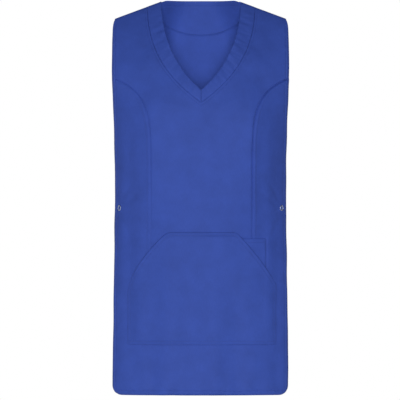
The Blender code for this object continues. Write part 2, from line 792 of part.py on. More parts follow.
def turned(name, profile, side, solid_core=False):
    """A snap part turned about the snap's axis, from (radius, depth in) points. The profile of a
    ring closes on itself, and that of a part with a solid core ends in a disc at each end."""
    centre, normal = on_front(side * SNAP_ACROSS, -SNAP_DROP)
    across = normal.cross(Vector((0, 0, 1))).normalized()
    upward = across.cross(normal).normalized()
    points = []
    for i in range(SNAP_SIDES):
        angle = 2 * math.pi * i / SNAP_SIDES
        spoke = across * math.cos(angle) + upward * math.sin(angle)
        points.extend(centre - normal * depth + spoke * radius for radius, depth in profile)
    count = len(profile)
    bands = count - 1 if solid_core else count
    faces = []
    for i in range(SNAP_SIDES):
        j = (i + 1) % SNAP_SIDES
        for k in range(bands):
            m = (k + 1) % count
            faces.append((i * count + k, j * count + k, j * count + m, i * count + m))
    if solid_core:
        faces.append([i * count for i in range(SNAP_SIDES)])
        faces.append([i * count + count - 1 for i in reversed(range(SNAP_SIDES))])
    look = material("steel_" + name, STEEL, STEEL_ROUGHNESS, 1.0)
    return add_object(name, points, faces, look)


def ring_profile(hole, radius, low, high):
    """Section of a ring with rounded shoulders on both rims."""
    soft = RIM_SOFTNESS * (high - low)
    return [
        (hole + soft, low), (radius - soft, low), (radius, low + soft), (radius, high - soft),
        (radius - soft, high), (hole + soft, high), (hole, high - soft), (hole, low + soft),
    ]


def stud_profile():
    """A post that stands into the socket, on a flange."""
    low, high = SNAP_STACK["stud"]
    tip = SNAP_STACK["post"][0]
    chamfer = POST_CHAMFER * STUD_POST
    return [(STUD_POST - chamfer, tip), (STUD_POST, tip + chamfer), (STUD_POST, low),
            (STUD_FLANGE, low), (STUD_FLANGE, high)]


def build_snap(side, word):
    ring = ring_profile(RING_HOLE, RING_RADIUS, *SNAP_STACK["ring"])
    socket = ring_profile(SOCKET_HOLE, SOCKET_RADIUS, *SNAP_STACK["socket"])
    back_ring = ring_profile(RING_HOLE, RING_RADIUS, *SNAP_STACK["back_ring"])
    turned("snap_ring_" + word, ring, side)
    turned("snap_socket_" + word, socket, side)
    turned("snap_stud_" + word, stud_profile(), side, solid_core=True)
    turned("snap_back_ring_" + word, back_ring, side)


def cloth_look(name):
    return material("cloth_" + name, BLUE, CLOTH_ROUGHNESS, 0.0)


def main():
    for old in list(bpy.data.objects):
        bpy.data.objects.remove(old, do_unlink=True)
    build_front(cloth_look("front"))
    build_back(cloth_look("back"))
    build_facing(cloth_look("back_neck_facing"))
    build_kangaroo_pocket(cloth_look("kangaroo_pocket"))
    build_phone_pocket(cloth_look("phone_pocket"))
    for side, word in ((1, "left"), (-1, "right")):
        build_band(side, word, cloth_look("neck_band_" + word))
        build_tab(side, word, cloth_look("side_tab_" + word))
        build_snap(side, word)


main()
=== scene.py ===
"""Looks of the work vest: fine cloth shells on the frame's solids, sewing, materials, light, camera.
Sizes are in metres, in the frame's own axes: +X is the wearer's left. A drop is a distance below the
shoulders. A flat point is (across, height) on the front or back, and laying out unrolls it round the body."""

import math

import bpy
import numpy as np
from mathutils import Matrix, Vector, kdtree
from mathutils.geometry import delaunay_2d_cdt


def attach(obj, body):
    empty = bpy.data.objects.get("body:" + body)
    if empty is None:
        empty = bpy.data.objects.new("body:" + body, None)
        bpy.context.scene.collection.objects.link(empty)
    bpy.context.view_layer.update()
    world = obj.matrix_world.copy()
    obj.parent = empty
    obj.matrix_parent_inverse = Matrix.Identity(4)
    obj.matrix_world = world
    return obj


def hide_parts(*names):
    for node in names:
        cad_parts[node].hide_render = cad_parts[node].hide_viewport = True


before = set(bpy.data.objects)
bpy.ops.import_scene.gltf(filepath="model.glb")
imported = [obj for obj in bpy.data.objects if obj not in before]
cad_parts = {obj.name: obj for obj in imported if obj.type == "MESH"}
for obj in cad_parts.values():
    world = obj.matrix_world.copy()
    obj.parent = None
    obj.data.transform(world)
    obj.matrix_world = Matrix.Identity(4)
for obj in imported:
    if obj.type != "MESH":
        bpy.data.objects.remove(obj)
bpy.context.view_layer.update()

# Sizes shared with the solids
LENGTH = 0.850
NECK_HALF = 0.0866
SHOULDER_TIP = 0.1855
SHOULDER_SLOPE = 0.370
NECK_RISE = 2.2
NECK_RISE_EASE = 0.015
SHOULDER_ROUND = 0.140
SHOULDER_ROUND_POWER = 0.75
SIDE_TURN = 0.955
BACK_INSET = 0.0035
BACK_SHORTER = 0.003
CORNER_RADIUS = 0.020
SEAM_GAP = 0.0003
HEM_DEPTH = 0.0115
SIDE_HEM = 0.0125
LAY_HALF = 0.188
LAY_DEPTH = 0.085
SECTION_COLUMNS = ("drop", "half_width", "front", "front_edge", "back", "back_edge")
SECTIONS = (
    (0.000, 0.1855, 0.040, 0.036, 0.056, 0.038),
    (0.0375, 0.1865, 0.049, 0.038, 0.063, 0.039),
    (0.0485, 0.1892, 0.052, 0.039, 0.065, 0.040),
    (0.075, 0.1910, 0.060, 0.041, 0.070, 0.041),
    (0.127, 0.1919, 0.079, 0.043, 0.080, 0.041),
    (0.179, 0.1915, 0.098, 0.042, 0.086, 0.038),
    (0.257, 0.1881, 0.112, 0.034, 0.084, 0.034),
    (0.340, 0.1864, 0.111, 0.024, 0.076, 0.029),
    (0.412, 0.1856, 0.105, 0.015, 0.070, 0.026),
    (0.447, 0.1858, 0.103, 0.013, 0.070, 0.025),
    (0.490, 0.1864, 0.101, 0.017, 0.072, 0.026),
    (0.542, 0.1871, 0.101, 0.027, 0.078, 0.030),
    (0.646, 0.1881, 0.102, 0.042, 0.086, 0.039),
    (0.724, 0.1893, 0.103, 0.049, 0.088, 0.044),
    (0.850, 0.1903, 0.105, 0.055, 0.090, 0.048),
)
# Long soft folds. Columns: across, top and bottom as drops, spread, height
FRONT_FOLDS = (
    (-0.171, 0.30, 0.86, 0.011, 0.0018),
    (-0.152, 0.24, 0.70, 0.010, -0.0017),
    (-0.128, 0.34, 0.80, 0.013, 0.0014),
    (-0.068, 0.50, 0.88, 0.024, 0.0036),
    (-0.022, 0.52, 0.80, 0.020, -0.0030),
    (0.030, 0.56, 0.88, 0.022, 0.0034),
    (0.078, 0.60, 0.88, 0.018, -0.0026),
    (0.128, 0.26, 0.58, 0.012, -0.0014),
    (0.148, 0.24, 0.74, 0.010, 0.0016),
    (0.166, 0.30, 0.86, 0.009, -0.0014),
)
BACK_FOLDS = (
    (-0.150, 0.30, 0.86, 0.014, 0.0030),
    (-0.112, 0.26, 0.76, 0.016, -0.0032),
    (-0.060, 0.48, 0.88, 0.022, 0.0036),
    (0.004, 0.34, 0.88, 0.020, -0.0034),
    (0.066, 0.42, 0.88, 0.022, 0.0036),
    (0.120, 0.24, 0.74, 0.015, -0.0032),
    (0.154, 0.36, 0.88, 0.013, 0.0030),
)
NECK_SHIFT = 0.0013
BAND_INNER = ((0.0866, 0.0), (0.0852, 0.0801), (0.0541, 0.1468), (0.0, 0.1926))
BAND_OUTER = ((0.1170, 0.0112), (0.1158, 0.1110), (0.0688, 0.1705), (0.0, 0.2207))
BAND_PROUD = 0.0004
FACING_HALF = 0.118
FACING_END = 0.0205
FACING_DROP = 0.073
FACING_CURVE = 2.2
FACING_SETBACK = 0.008
DART_SHIFT = 0.0025
DART = ((0.1960, 0.1650), (0.1294, 0.1885), (0.1101, 0.2192), (0.1095, 0.3400))
DART_END = 0.600
DART_BENDS = (0.12, 0.20)
DART_BEND_STARTS = (0.15, 0.25)
DART_BEND_ENDS = (0.40, 0.52)
DART_BEND_CURVE = 1.6
BACK_NECK_RISE = 0.0038
BACK_NECK_RISE_RUN = 0.014
POCKET_CORNERS = (
    (-0.1570, 0.7420),
    (-0.1570, 0.6188),
    (-0.0722, 0.4983),
    (0.0777, 0.4983),
    (0.1626, 0.6081),
    (0.1626, 0.7420),
)
POCKET_MOUTHS = {1: (-0.1375, 0.5599), 3: (0.1160, 0.5381)}
POCKET_LIFT = 0.0030
POCKET_LIFT_RUN = 0.014
PHONE_CORNERS = ((0.072, 0.632), (0.072, 0.5125), (0.1410, 0.5125), (0.1410, 0.632))
SNAP_DROP = 0.447
SNAP_ACROSS = 0.1750
TAB_HALF = 0.0225
TAB_FREE_END = 0.150
TAB_LEAVES_FRONT = 0.1848
TAB_SET_IN = 0.0015
TAB_SEWN = 0.020
TAB_DEPTH = 0.0051

# How far in the side edge is, and how far down the hem, of each panel
FRONT_EDGES = (0.0, LENGTH)
BACK_EDGES = (BACK_INSET, LENGTH - BACK_SHORTER)
BACK_NECK_HALF = NECK_HALF - 0.0004

# Cloth as it looks
CLOTH = 0.0009
HEM_CLOTH = 0.0017
BAND_CLOTH = 0.0017
POCKET_CLOTH = 0.0010
FACING_CLOTH = 0.0009
TAB_CLOTH = 0.0017
COARSE = 0.0042
MEDIUM = 0.0036
FINE = 0.0028
LINE_SPACING = 0.0035
EDGE_ROLL = 0.0046
EDGE_ROLL_RUN = 0.0058
BAND_WIDTH = 0.027
PHONE_PROUD = 0.0004
TAB_BEHIND_BACK = 0.0029

# Sewing: stitches as (share of the length, share of the radius) from end to end
STITCH_PITCH = 0.0031
STITCH_LONG = 0.0024
STITCH_RADIUS = 0.00030
STITCH_SHAPE = ((-0.5, 0.25), (-0.42, 0.7), (0.0, 1.0), (0.42, 0.7), (0.5, 0.25))
STITCH_SIDES = 6
# How far each row of stitches is from the edge or seam that it follows
HEM_ROW_INSIDE = 0.0015
NECK_ROW = 0.0045
BACK_NECK_ROW = 0.0105
FACING_ROW = 0.004
DART_ROW = 0.009
DART_ROW_TOP = 0.185
POCKET_ROW = 0.008
POCKET_EDGE_ROW = 0.0018
PHONE_TOP_ROW = ((0.0745, 0.5205), (0.1383, 0.5205))
PHONE_SIDE_ROW = ((0.1393, 0.516), (0.1393, 0.628))
# The trough that a row pulls into the cloth: its depth, its width and the height of the gathers beside it
TROUGH_WIDTH = 0.0011
HEM_TROUGH = (0.00100, 0.0013, 0.00026)
NECK_TROUGH = (0.00050, TROUGH_WIDTH, 0.00018)
DART_ROW_TROUGH = (0.00045, TROUGH_WIDTH, 0.00016)
PHONE_ROW_TROUGH = (0.00035, TROUGH_WIDTH, 0.0)
POCKET_ROW_PULL = 0.00014
# The front dips along the darts, on the wearer's left and right, and along two edges of the phone pocket
DART_TROUGHS = ((0.0044, 0.0013), (0.0018, 0.0011))
DART_TROUGH_FADE = (0.38, 0.50)
PHONE_EDGE = ((0.0915, 0.5113), (0.1422, 0.5113), (0.1422, 0.573))
PHONE_EDGE_TROUGH = (0.00110, 0.0015, 0.0)
# The pocket's edges from its lowest point on the wearer's right: side, mouth, top, mouth, side, hem.
# Columns: how far the edge dips, over what run, the depth of its stitches' trough, radius of its first corner
POCKET_EDGES = (
    (0.0004, 0.0030, 0.00020, 0.002),
    (0.0024, 0.0027, 0.00035, 0.006),
    (0.0012, 0.0026, 0.00030, 0.003),
    (0.0032, 0.0028, 0.00035, 0.012),
    (0.0002, 0.0030, 0.00020, 0.006),
    (0.0005, 0.0030, 0.00030, 0.002),
)
POCKET_GAPES = {1: 0.0008, 3: 0.0014}

# Creases of the front and back, as soft-ended lines. Columns: x0, drop0, x1, drop1, spread, height
FRONT_CREASES = (
    (-0.178, 0.447, -0.118, 0.405, 0.006, -0.0013),
    (-0.178, 0.450, -0.128, 0.470, 0.006, -0.0012),
    (-0.176, 0.440, -0.146, 0.385, 0.005, -0.0010),
    (-0.176, 0.455, -0.150, 0.515, 0.005, -0.0010),
    (0.178, 0.447, 0.120, 0.410, 0.006, -0.0013),
    (0.178, 0.450, 0.130, 0.476, 0.006, -0.0012),
    (0.176, 0.440, 0.142, 0.380, 0.005, -0.0011),
    (0.176, 0.455, 0.150, 0.520, 0.005, -0.0010),
    (-0.180, 0.195, -0.128, 0.245, 0.010, -0.0012),
    (0.182, 0.190, 0.134, 0.250, 0.010, -0.0014),
    (0.100, 0.075, 0.165, 0.150, 0.012, -0.0012),
    (-0.105, 0.085, -0.160, 0.165, 0.012, -0.0010),
    (0.030, 0.235, 0.090, 0.205, 0.012, 0.0008),
    (-0.030, 0.240, -0.085, 0.215, 0.012, 0.0008),
    (-0.060, 0.330, 0.010, 0.350, 0.014, -0.0008),
    (0.020, 0.405, 0.085, 0.380, 0.013, -0.0008),
    (-0.080, 0.420, -0.020, 0.445, 0.012, 0.0007),
    (-0.165, 0.760, -0.150, 0.846, 0.010, 0.0012),
    (-0.110, 0.770, -0.100, 0.848, 0.012, -0.0012),
    (-0.035, 0.765, -0.040, 0.848, 0.014, 0.0012),
    (0.055, 0.770, 0.050, 0.848, 0.012, -0.0012),
    (0.115, 0.765, 0.122, 0.848, 0.012, 0.0013),
    (0.160, 0.780, 0.166, 0.846, 0.009, -0.0011),
)
BACK_CREASES = (
    (-0.178, 0.447, -0.110, 0.400, 0.007, -0.0014),
    (-0.178, 0.450, -0.120, 0.480, 0.007, -0.0012),
    (0.178, 0.447, 0.112, 0.404, 0.007, -0.0014),
    (0.178, 0.450, 0.122, 0.484, 0.007, -0.0012),
    (-0.150, 0.110, -0.070, 0.165, 0.014, -0.0013),
    (0.155, 0.105, 0.075, 0.160, 0.014, -0.0013),
    (-0.060, 0.335, 0.030, 0.352, 0.014, -0.0012),
    (-0.020, 0.395, 0.075, 0.380, 0.014, -0.0012),
    (-0.085, 0.430, 0.000, 0.446, 0.013, 0.0010),
    (-0.120, 0.765, -0.112, 0.845, 0.012, -0.0012),
    (-0.020, 0.760, -0.026, 0.845, 0.014, 0.0012),
    (0.085, 0.765, 0.090, 0.845, 0.013, -0.0012),
)

# Colours, light and camera. Columns of LIGHTS: name, azimuth, elevation, distance, size, power
BLUE = (0.0310, 0.0700, 0.3550)
NICKEL = (0.62, 0.71, 0.93)
WEAVE_PITCH = 0.00085
WEAVE_HEIGHT = 0.00006
AMBIENT = 0.06
LIT_MIDDLE = (0.0, 0.0, -0.43)
LIGHTS = (
    ("front", 0, 4, 5.6, 1.8, 236.0),
    ("side_right", -75, -4, 3.0, 0.9, 15.0),
    ("side_left", 75, -4, 3.0, 0.9, 10.0),
    ("behind_right", -150, 20, 3.2, 1.6, 26.0),
    ("behind_left", 160, 25, 3.2, 1.6, 26.0),
)
PIXEL = 0.002162
PICTURE = 400
CAMERA_AWAY = 12.0
CAMERA_AIM = (-0.0011, -0.03, -0.4297)
SENSOR = 36.0
FLOOR_DROP = 1.30
FLOOR_HALF = 2.6


def step(value, start, end):
    t = np.clip((value - start) / (end - start), 0.0, 1.0)
    return t * t * (3 - 2 * t)


def bell(value, width):
    return np.exp(-((value / width) ** 2))


def unit(vectors):
    return vectors / np.linalg.norm(vectors, axis=-1)[..., None]


def smooth_run(t, run, start, start_slope, end, end_slope):
    """Values at shares t of a smooth run between two ends with given slopes."""
    value = (2 * t**3 - 3 * t**2 + 1) * start + (t**3 - 2 * t**2 + t) * run * start_slope
    return value + (3 * t**2 - 2 * t**3) * end + (t**3 - t**2) * run * end_slope


def bent(start, corner, end, count):
    """A curve that leaves its start and reaches its end in line with a corner between them."""
    t = np.linspace(0, 1, count)[:, None]
    return (1 - t) ** 2 * start + 2 * t * (1 - t) * corner + t**2 * end


def runs_along(line):
    """The distance along a line from its start to each of its points."""
    return np.concatenate([[0.0], np.cumsum(np.linalg.norm(np.diff(line, axis=0), axis=1))])


def polyline(points):
    """Flat points from (across, drop)."""
    return np.array([(x, -drop) for x, drop in points], float)


def mirrored(line):
    line = np.array(line, float)
    return np.stack([-line[:, 0], line[:, 1]], axis=1)


def section(name, drop):
    """A column of SECTIONS at drops, carried smoothly between the rows."""
    data = np.array(SECTIONS)
    xs = data[:, 0]
    ys = data[:, SECTION_COLUMNS.index(name)]
    slopes = np.gradient(ys, xs)
    drop = np.clip(drop, xs[0], xs[-1])
    i = np.clip(np.searchsorted(xs, drop, side="right") - 1, 0, len(xs) - 2)
    run = xs[i + 1] - xs[i]
    return smooth_run((drop - xs[i]) / run, run, ys[i], slopes[i], ys[i + 1], slopes[i + 1])


def ridge(x):
    """Height of the shoulder seam, carried on over the neck opening."""
    inside_neck = np.maximum(NECK_HALF - np.abs(x), 0.0)
    rise = NECK_RISE * inside_neck**2 / (inside_neck + NECK_RISE_EASE)
    return -SHOULDER_SLOPE * (np.abs(x) - NECK_HALF) + rise


def fold(rows, x, drop):
    total = 0.0
    for across, top, bottom, spread, height in rows:
        fade = step(drop, top, top + 0.10) * (1 - step(drop, bottom - 0.06, bottom))
        total = total + height * fade * bell(x - across, spread)
    return total


def bow(share):
    """Depth of a level's curve at a share of its half width: 1 in the middle and 0 at the side."""
    low = math.sqrt(1 - SIDE_TURN**2)
    return (np.sqrt(1 - (SIDE_TURN * np.minimum(share, 1.0)) ** 2) - low) / (1 - low)


def rounded(x, z):
    """How far the depth has grown, from 0 at the shoulder seam to 1 below it."""
    below = np.clip((ridge(x) - z) / SHOULDER_ROUND, 0.0, 1.0)
    return (1 - (1 - below) ** 2) ** SHOULDER_ROUND_POWER


def dart_bend(x, drop, half_width):
    """How far out the darts shape the front: most at a dart's line, falling to the centre and the side."""
    across = np.abs(x)
    dart = DART[-1][0] + np.where(x > 0, DART_SHIFT, -DART_SHIFT)
    bend = np.minimum((across / dart) ** DART_BEND_CURVE, (half_width - across) / (half_width - dart))
    fade = step(drop, *DART_BEND_STARTS) * (1 - step(drop, *DART_BEND_ENDS))
    return np.where(x > 0, DART_BENDS[1], DART_BENDS[0]) * np.maximum(bend, 0.0) * fade


def depth(side, x, z):
    """y of the outside of the front (side -1) or the back (side 1), before fine creases."""
    name, inset, folds = ("front", 0.0, FRONT_FOLDS) if side < 0 else ("back", BACK_INSET, BACK_FOLDS)
    centre = section(name, -z)
    edge = section(name + "_edge", -z)
    half_width = section("half_width", -z) - inset
    shape = bow(np.abs(x) / half_width)
    if side < 0:
        shape = shape + dart_bend(x, -z, half_width)
    body = (edge + (centre - edge) * shape) * rounded(x, z)
    return side * (body + SEAM_GAP / 2 + fold(folds, x, -z))


def on_body(side, x, z):
    """Points and unit normals out of the front or the back."""
    reach = 0.0008
    turn = np.where(x < 0, -1.0, 1.0)
    near = turn * np.maximum(np.abs(x) - reach, 0.0)
    far = near - turn * 2 * reach
    along_x = (depth(side, near, z) - depth(side, far, z)) / (near - far)
    high = np.minimum(z, ridge(x) - reach)
    low = high - 2 * reach
    along_z = (depth(side, x, high) - depth(side, x, low)) / (high - low)
    normal = unit(np.stack([-along_x, np.ones_like(x), -along_z], axis=1) * side)
    return np.stack([x, depth(side, x, z), z], axis=1), normal


def around_length():
    """Distances across, and the lengths of cloth that reach them round the body."""
    xs = np.linspace(0, 1.15 * LAY_HALF, 1200)
    depths = LAY_DEPTH * bow(xs / LAY_HALF)
    runs = np.hypot(np.diff(xs), np.diff(depths))
    return xs, np.concatenate([[0.0], np.cumsum(runs)])


LAY = around_length()


def laid(points, back=False):
    """Flat points laid out, or laid-out points made flat again."""
    xs, lengths = LAY
    points = np.array(points, float).reshape(-1, 2)
    source, target = (lengths, xs) if back else (xs, lengths)
    moved = np.interp(np.abs(points[:, 0]), source, target) * np.sign(points[:, 0])
    return np.stack([moved, points[:, 1]], axis=1)


def side_edge(drop, inset=0.0):
    return section("half_width", drop) - inset


def bezier(points, count):
    t = np.linspace(0, 1, count + 1)[:, None]
    p = polyline(points)
    line = (1 - t) ** 3 * p[0] + 3 * (1 - t) ** 2 * t * p[1]
    return line + 3 * (1 - t) * t**2 * p[2] + t**3 * p[3]


def beside(line, distance):
    """A line moved to the left of its direction of travel."""
    line = np.array(line, float)
    along = unit(np.gradient(line, axis=0))
    return line + distance * np.stack([-along[:, 1], along[:, 0]], axis=1)


def beside_line(line, distance):
    """A flat line moved sideways along the cloth."""
    return laid(beside(laid(line), distance), back=True)


def shortened(line, at_start, at_end, count=None):
    """A line with a length cut off each end."""
    line = np.array(line, float)
    runs = runs_along(line)
    at = np.linspace(at_start, runs[-1] - at_end, count or len(line))
    return np.stack([np.interp(at, runs, line[:, k]) for k in range(line.shape[1])], axis=1)


def resampled(line, spacing):
    """Evenly spaced points along a line, its ends kept."""
    count = max(int(round(runs_along(np.array(line, float))[-1] / spacing)), 1)
    return shortened(line, 0.0, 0.0, count + 1)


def joined_loop(parts, spacing):
    """A closed outline from parts that meet end to end, each resampled."""
    loop = []
    for part in parts:
        loop.extend(resampled(part, spacing)[:-1])
    return np.array(loop)


def rounded_polygon(corners, radius, spacing):
    """A closed outline of straight sides with rounded corners."""
    arcs = []
    for before, corner, after in zip(np.roll(corners, 1, axis=0), corners, np.roll(corners, -1, axis=0)):
        into = corner + radius * (before - corner) / np.linalg.norm(before - corner)
        out = corner + radius * (after - corner) / np.linalg.norm(after - corner)
        arcs.append(bent(into, corner, out, 7))
    loop = []
    for arc, following in zip(arcs, arcs[1:] + arcs[:1]):
        loop.extend(arc[:-1])
        loop.extend(resampled([arc[-1], following[0]], spacing)[:-1])
    return np.array(loop)


def inside(points, loop):
    """Which points a closed outline holds."""
    ends = np.roll(loop, -1, axis=0)
    found = np.zeros(len(points), bool)
    for (x0, y0), (x1, y1) in zip(loop, ends):
        if y0 == y1:
            continue
        crosses = (points[:, 1] < y0) != (points[:, 1] < y1)
        found ^= crosses & (points[:, 0] < x0 + (points[:, 1] - y0) * (x1 - x0) / (y1 - y0))
    return found


def distance_to(line, flat):
    """Each flat point's distance from a line along the cloth, the distance along the line, and the side."""
    line, points = laid(line), laid(flat)
    runs = runs_along(line)
    best = np.full(len(points), np.inf)
    where = np.zeros(len(points))
    hand = np.zeros(len(points))
    for k, (start, end) in enumerate(zip(line[:-1], line[1:])):
        run = end - start
        t = np.clip((points - start) @ run / max(run @ run, 1e-18), 0, 1)
        away = points - start - t[:, None] * run
        gap = np.linalg.norm(away, axis=1)
        closer = gap < best
        best = np.where(closer, gap, best)
        where = np.where(closer, runs[k] + t * (runs[k + 1] - runs[k]), where)
        hand = np.where(closer, np.sign(run[0] * away[:, 1] - run[1] * away[:, 0]), hand)
    return best, where, hand


def cut_cloth(loop, lines, spacing):
    """Flat points and triangles of a piece: its outline, its sewing lines and a grid between."""
    loop = laid(loop)
    lines = [laid(line) for line in lines]
    low, high = loop.min(axis=0), loop.max(axis=0)
    rise = spacing * 0.866
    js = np.arange(math.floor(low[1] / rise), math.ceil(high[1] / rise) + 1)
    cols = np.arange(math.floor(low[0] / spacing) - 1, math.ceil(high[0] / spacing) + 1)
    gi, gj = np.meshgrid(cols, js)
    grid = np.stack([(gi + 0.5 * (gj % 2)) * spacing, gj * rise], axis=-1).reshape(-1, 2)
    grid = grid[inside(grid, loop)]
    marks = [resampled(np.vstack([loop, loop[:1]]), 0.25 * spacing)]
    marks += [resampled(line, 0.25 * spacing) for line in lines]
    marks = np.vstack(marks)
    tree = kdtree.KDTree(len(marks))
    for i, (x, y) in enumerate(marks):
        tree.insert((x, y, 0.0), i)
    tree.balance()
    keep = [tree.find((x, y, 0.0))[2] > 0.45 * spacing for x, y in grid]
    grid = grid[np.array(keep, bool)]
    points = [Vector(p) for p in loop]
    links = [(i, (i + 1) % len(loop)) for i in range(len(loop))]
    for line in lines:
        first = len(points)
        points.extend(Vector(p) for p in line)
        links.extend((first + i, first + i + 1) for i in range(len(line) - 1))
    points.extend(Vector(p) for p in grid)
    border = [list(range(len(loop)))]
    flat, _, faces, _, _, _ = delaunay_2d_cdt(points, links, border, 1, 1e-6)
    flat = np.array([tuple(p) for p in flat])
    faces = np.array([tuple(face) for face in faces])
    faces = faces[inside(flat[faces].mean(axis=1), loop)]
    used, faces = np.unique(faces, return_inverse=True)
    return laid(flat[used], back=True), faces.reshape(-1, 3)


def unevenness(x, z, seed, height, size):
    """A soft, seeded unevenness of cloth: a few long waves in scattered directions."""
    scatter = np.random.RandomState(seed)
    total = np.zeros_like(x)
    for _ in range(7):
        angle = scatter.uniform(0, math.pi)
        length = size * scatter.uniform(0.7, 1.6)
        phase = scatter.uniform(0, 2 * math.pi)
        along = (x * math.cos(angle) + z * math.sin(angle)) * 2 * math.pi / length
        total += np.sin(along + phase)
    return total * height / 2.6


def creases(rows, x, drop):
    """Soft creases along short lines, fading at their ends."""
    total = np.zeros_like(x)
    for x0, drop0, x1, drop1, spread, height in rows:
        run = np.array([x1 - x0, drop1 - drop0])
        share = ((x - x0) * run[0] + (drop - drop0) * run[1]) / (run @ run)
        aside = ((x - x0) * run[1] - (drop - drop0) * run[0]) / math.sqrt(run @ run)
        fade = step(share, -0.15, 0.2) * (1 - step(share, 0.55, 1.15))
        total += height * fade * bell(aside, spread)
    return total


def puckers(seed, along, length, height):
    """Small uneven gathers along a stitched line."""
    scatter = np.random.RandomState(seed)
    total = np.zeros_like(along)
    for _ in range(4):
        wave = length * scatter.uniform(0.65, 1.7)
        total += np.sin(along * 2 * math.pi / wave + scatter.uniform(0, 2 * math.pi))
    return total * height / 2.0


def groove(flat, line, trough, seed=1):
    """The trough that a row of stitches pulls into cloth, with small gathers beside it."""
    deep, width, pull = trough
    gap, along, _ = distance_to(line, flat)
    dip = 0.25 * deep * bell(gap - 0.003, 0.0016) - deep * bell(gap, width)
    return dip + pull * bell(gap, 0.006) * puckers(seed, along, 0.011, 1.0)


def strip(flat, line, width, height, hand):
    """Cloth raised on one side of a line, over the folded edges under it."""
    gap, _, side = distance_to(line, flat)
    signed = gap * side * hand
    return height * step(signed, 0.0, 0.0015) * (1 - step(signed, width - 0.001, width + 0.003))


def stitched(line, spacing=0.0032):
    """A sewing line and lines close to it, for a mesh that can hold its trough."""
    middle = laid(line)
    lines = [middle] + [beside(middle, aside) for aside in (0.0013, -0.0013, 0.003, -0.003)]
    return [laid(resampled(each, spacing), back=True) for each in lines]


def side_run(inset, length, samples=260):
    """The side edge from the shoulder tip down and round the hem corner."""
    tip_x = SHOULDER_TIP - inset
    tip_drop = -float(ridge(np.array([tip_x]))[0])
    stop = length - CORNER_RADIUS
    drops = np.linspace(tip_drop, stop, samples)
    xs = side_edge(drops, inset)
    ease = 1 - step(drops, tip_drop, tip_drop + 0.006)
    run = np.stack([xs + ease * (tip_x - xs), -drops], axis=1)
    angle = np.radians(np.linspace(0, 90, 12))[1:]
    corner = np.stack([
        run[-1, 0] - CORNER_RADIUS + CORNER_RADIUS * np.cos(angle),
        -stop - CORNER_RADIUS * np.sin(angle),
    ], axis=1)
    return np.vstack([run, corner])


def outline(inset, length):
    """The side and hem edges of a panel, from the wearer's left shoulder tip round to the right one."""
    left = side_run(inset, length)
    return resampled(np.vstack([left, mirrored(left)[::-1]]), 0.005)


def panel_loop(inset, length, neck_left, neck_right, neck, spacing):
    """The whole outline of the front or back, given where its neck edge meets the shoulders."""
    tip = SHOULDER_TIP - inset
    left = side_run(inset, length)
    right = mirrored(left)[::-1]
    hem = np.array([left[-1], right[0]])
    parts = [shoulder(neck_left, tip), left, hem, right, shoulder(-tip, neck_right), neck]
    return joined_loop(parts, spacing)


def hem_line(inset, length):
    """The row of stitches of the side and bottom hems."""
    drops = np.linspace(0.047, length - (HEM_DEPTH - HEM_ROW_INSIDE), 200)
    edge = laid(np.stack([side_edge(drops, inset), -drops], axis=1))
    edge[:, 0] -= SIDE_HEM - HEM_ROW_INSIDE
    left = laid(edge, back=True)
    return np.vstack([left, mirrored(left)[::-1]])


def dart_line(side):
    """A dart from the armhole to its lower end, on the wearer's left (1) or right (-1)."""
    line = np.vstack([bezier(DART, 40), polyline([(DART[-1][0], DART_END)])])
    line = line[line[:, 0] < side_edge(-line[:, 1]) - 0.0015]
    line[:, 0] = side * line[:, 0] + DART_SHIFT
    return resampled(line, LINE_SPACING)


def neck_line(distance=0.0):
    """The bands' outer seam from the left shoulder to the right, moved out over the body by distance."""
    left = bezier(BAND_OUTER, 60)
    if distance:
        left = beside(left, distance)
        left = left[left[:, 0] > 0]
        left = np.vstack([left, [(0.0, left[-1, 1] - left[-1, 0] * 0.66)]])
    line = np.vstack([left, mirrored(left)[::-1][1:]])
    line[:, 0] += NECK_SHIFT
    return line


def shoulder(start, end):
    xs = np.linspace(start, end, 40)
    return np.stack([xs, ridge(xs)], axis=1)


def shoulder_rows(start, end):
    """Lines across the panel, close below its shoulder seam."""
    xs = np.linspace(start + math.copysign(0.002, start), end - math.copysign(0.002, end), 30)
    return [np.stack([xs, ridge(xs) - below], axis=1) for below in (0.0012, 0.003, 0.0055, 0.009, 0.014)]


def panel_waves(flat, rows, wide, narrow, hem_drop, hem_seed):
    """Creases, two sizes of unevenness and the wave of the hem, calm at the shoulder seam."""
    x, z = flat[:, 0], flat[:, 1]
    wave = creases(rows, x, -z) + unevenness(x, z, *wide)
    wave += unevenness(x, z * 0.45, *narrow)
    wave += bell(z + hem_drop, 0.05) * puckers(hem_seed, x, 0.055, 0.0009)
    return wave * step(ridge(x) - z, 0.0, 0.03)


def front_waves(flat):
    """The unevenness of the front, which its pockets and bands share: calm round each snap."""
    across, up = np.abs(flat[:, 0]) - SNAP_ACROSS, flat[:, 1] + SNAP_DROP
    calm = 1 - np.exp(-((across / 0.008) ** 2 + (up / 0.009) ** 2) * 0.7)
    return calm * panel_waves(flat, FRONT_CREASES, (3, 0.0003, 0.11), (5, 0.00022, 0.045), LENGTH, 11)


def back_waves(flat):
    return panel_waves(flat, BACK_CREASES, (4, 0.00035, 0.10), (6, 0.00024, 0.05), BACK_EDGES[1], 12)


def from_side(flat, inset):
    """Each flat point's distance in from the side edge, along the cloth."""
    z = flat[:, 1]
    edge = laid(np.stack([side_edge(-z, inset), z], axis=1))[:, 0]
    return edge - np.abs(laid(flat)[:, 0])


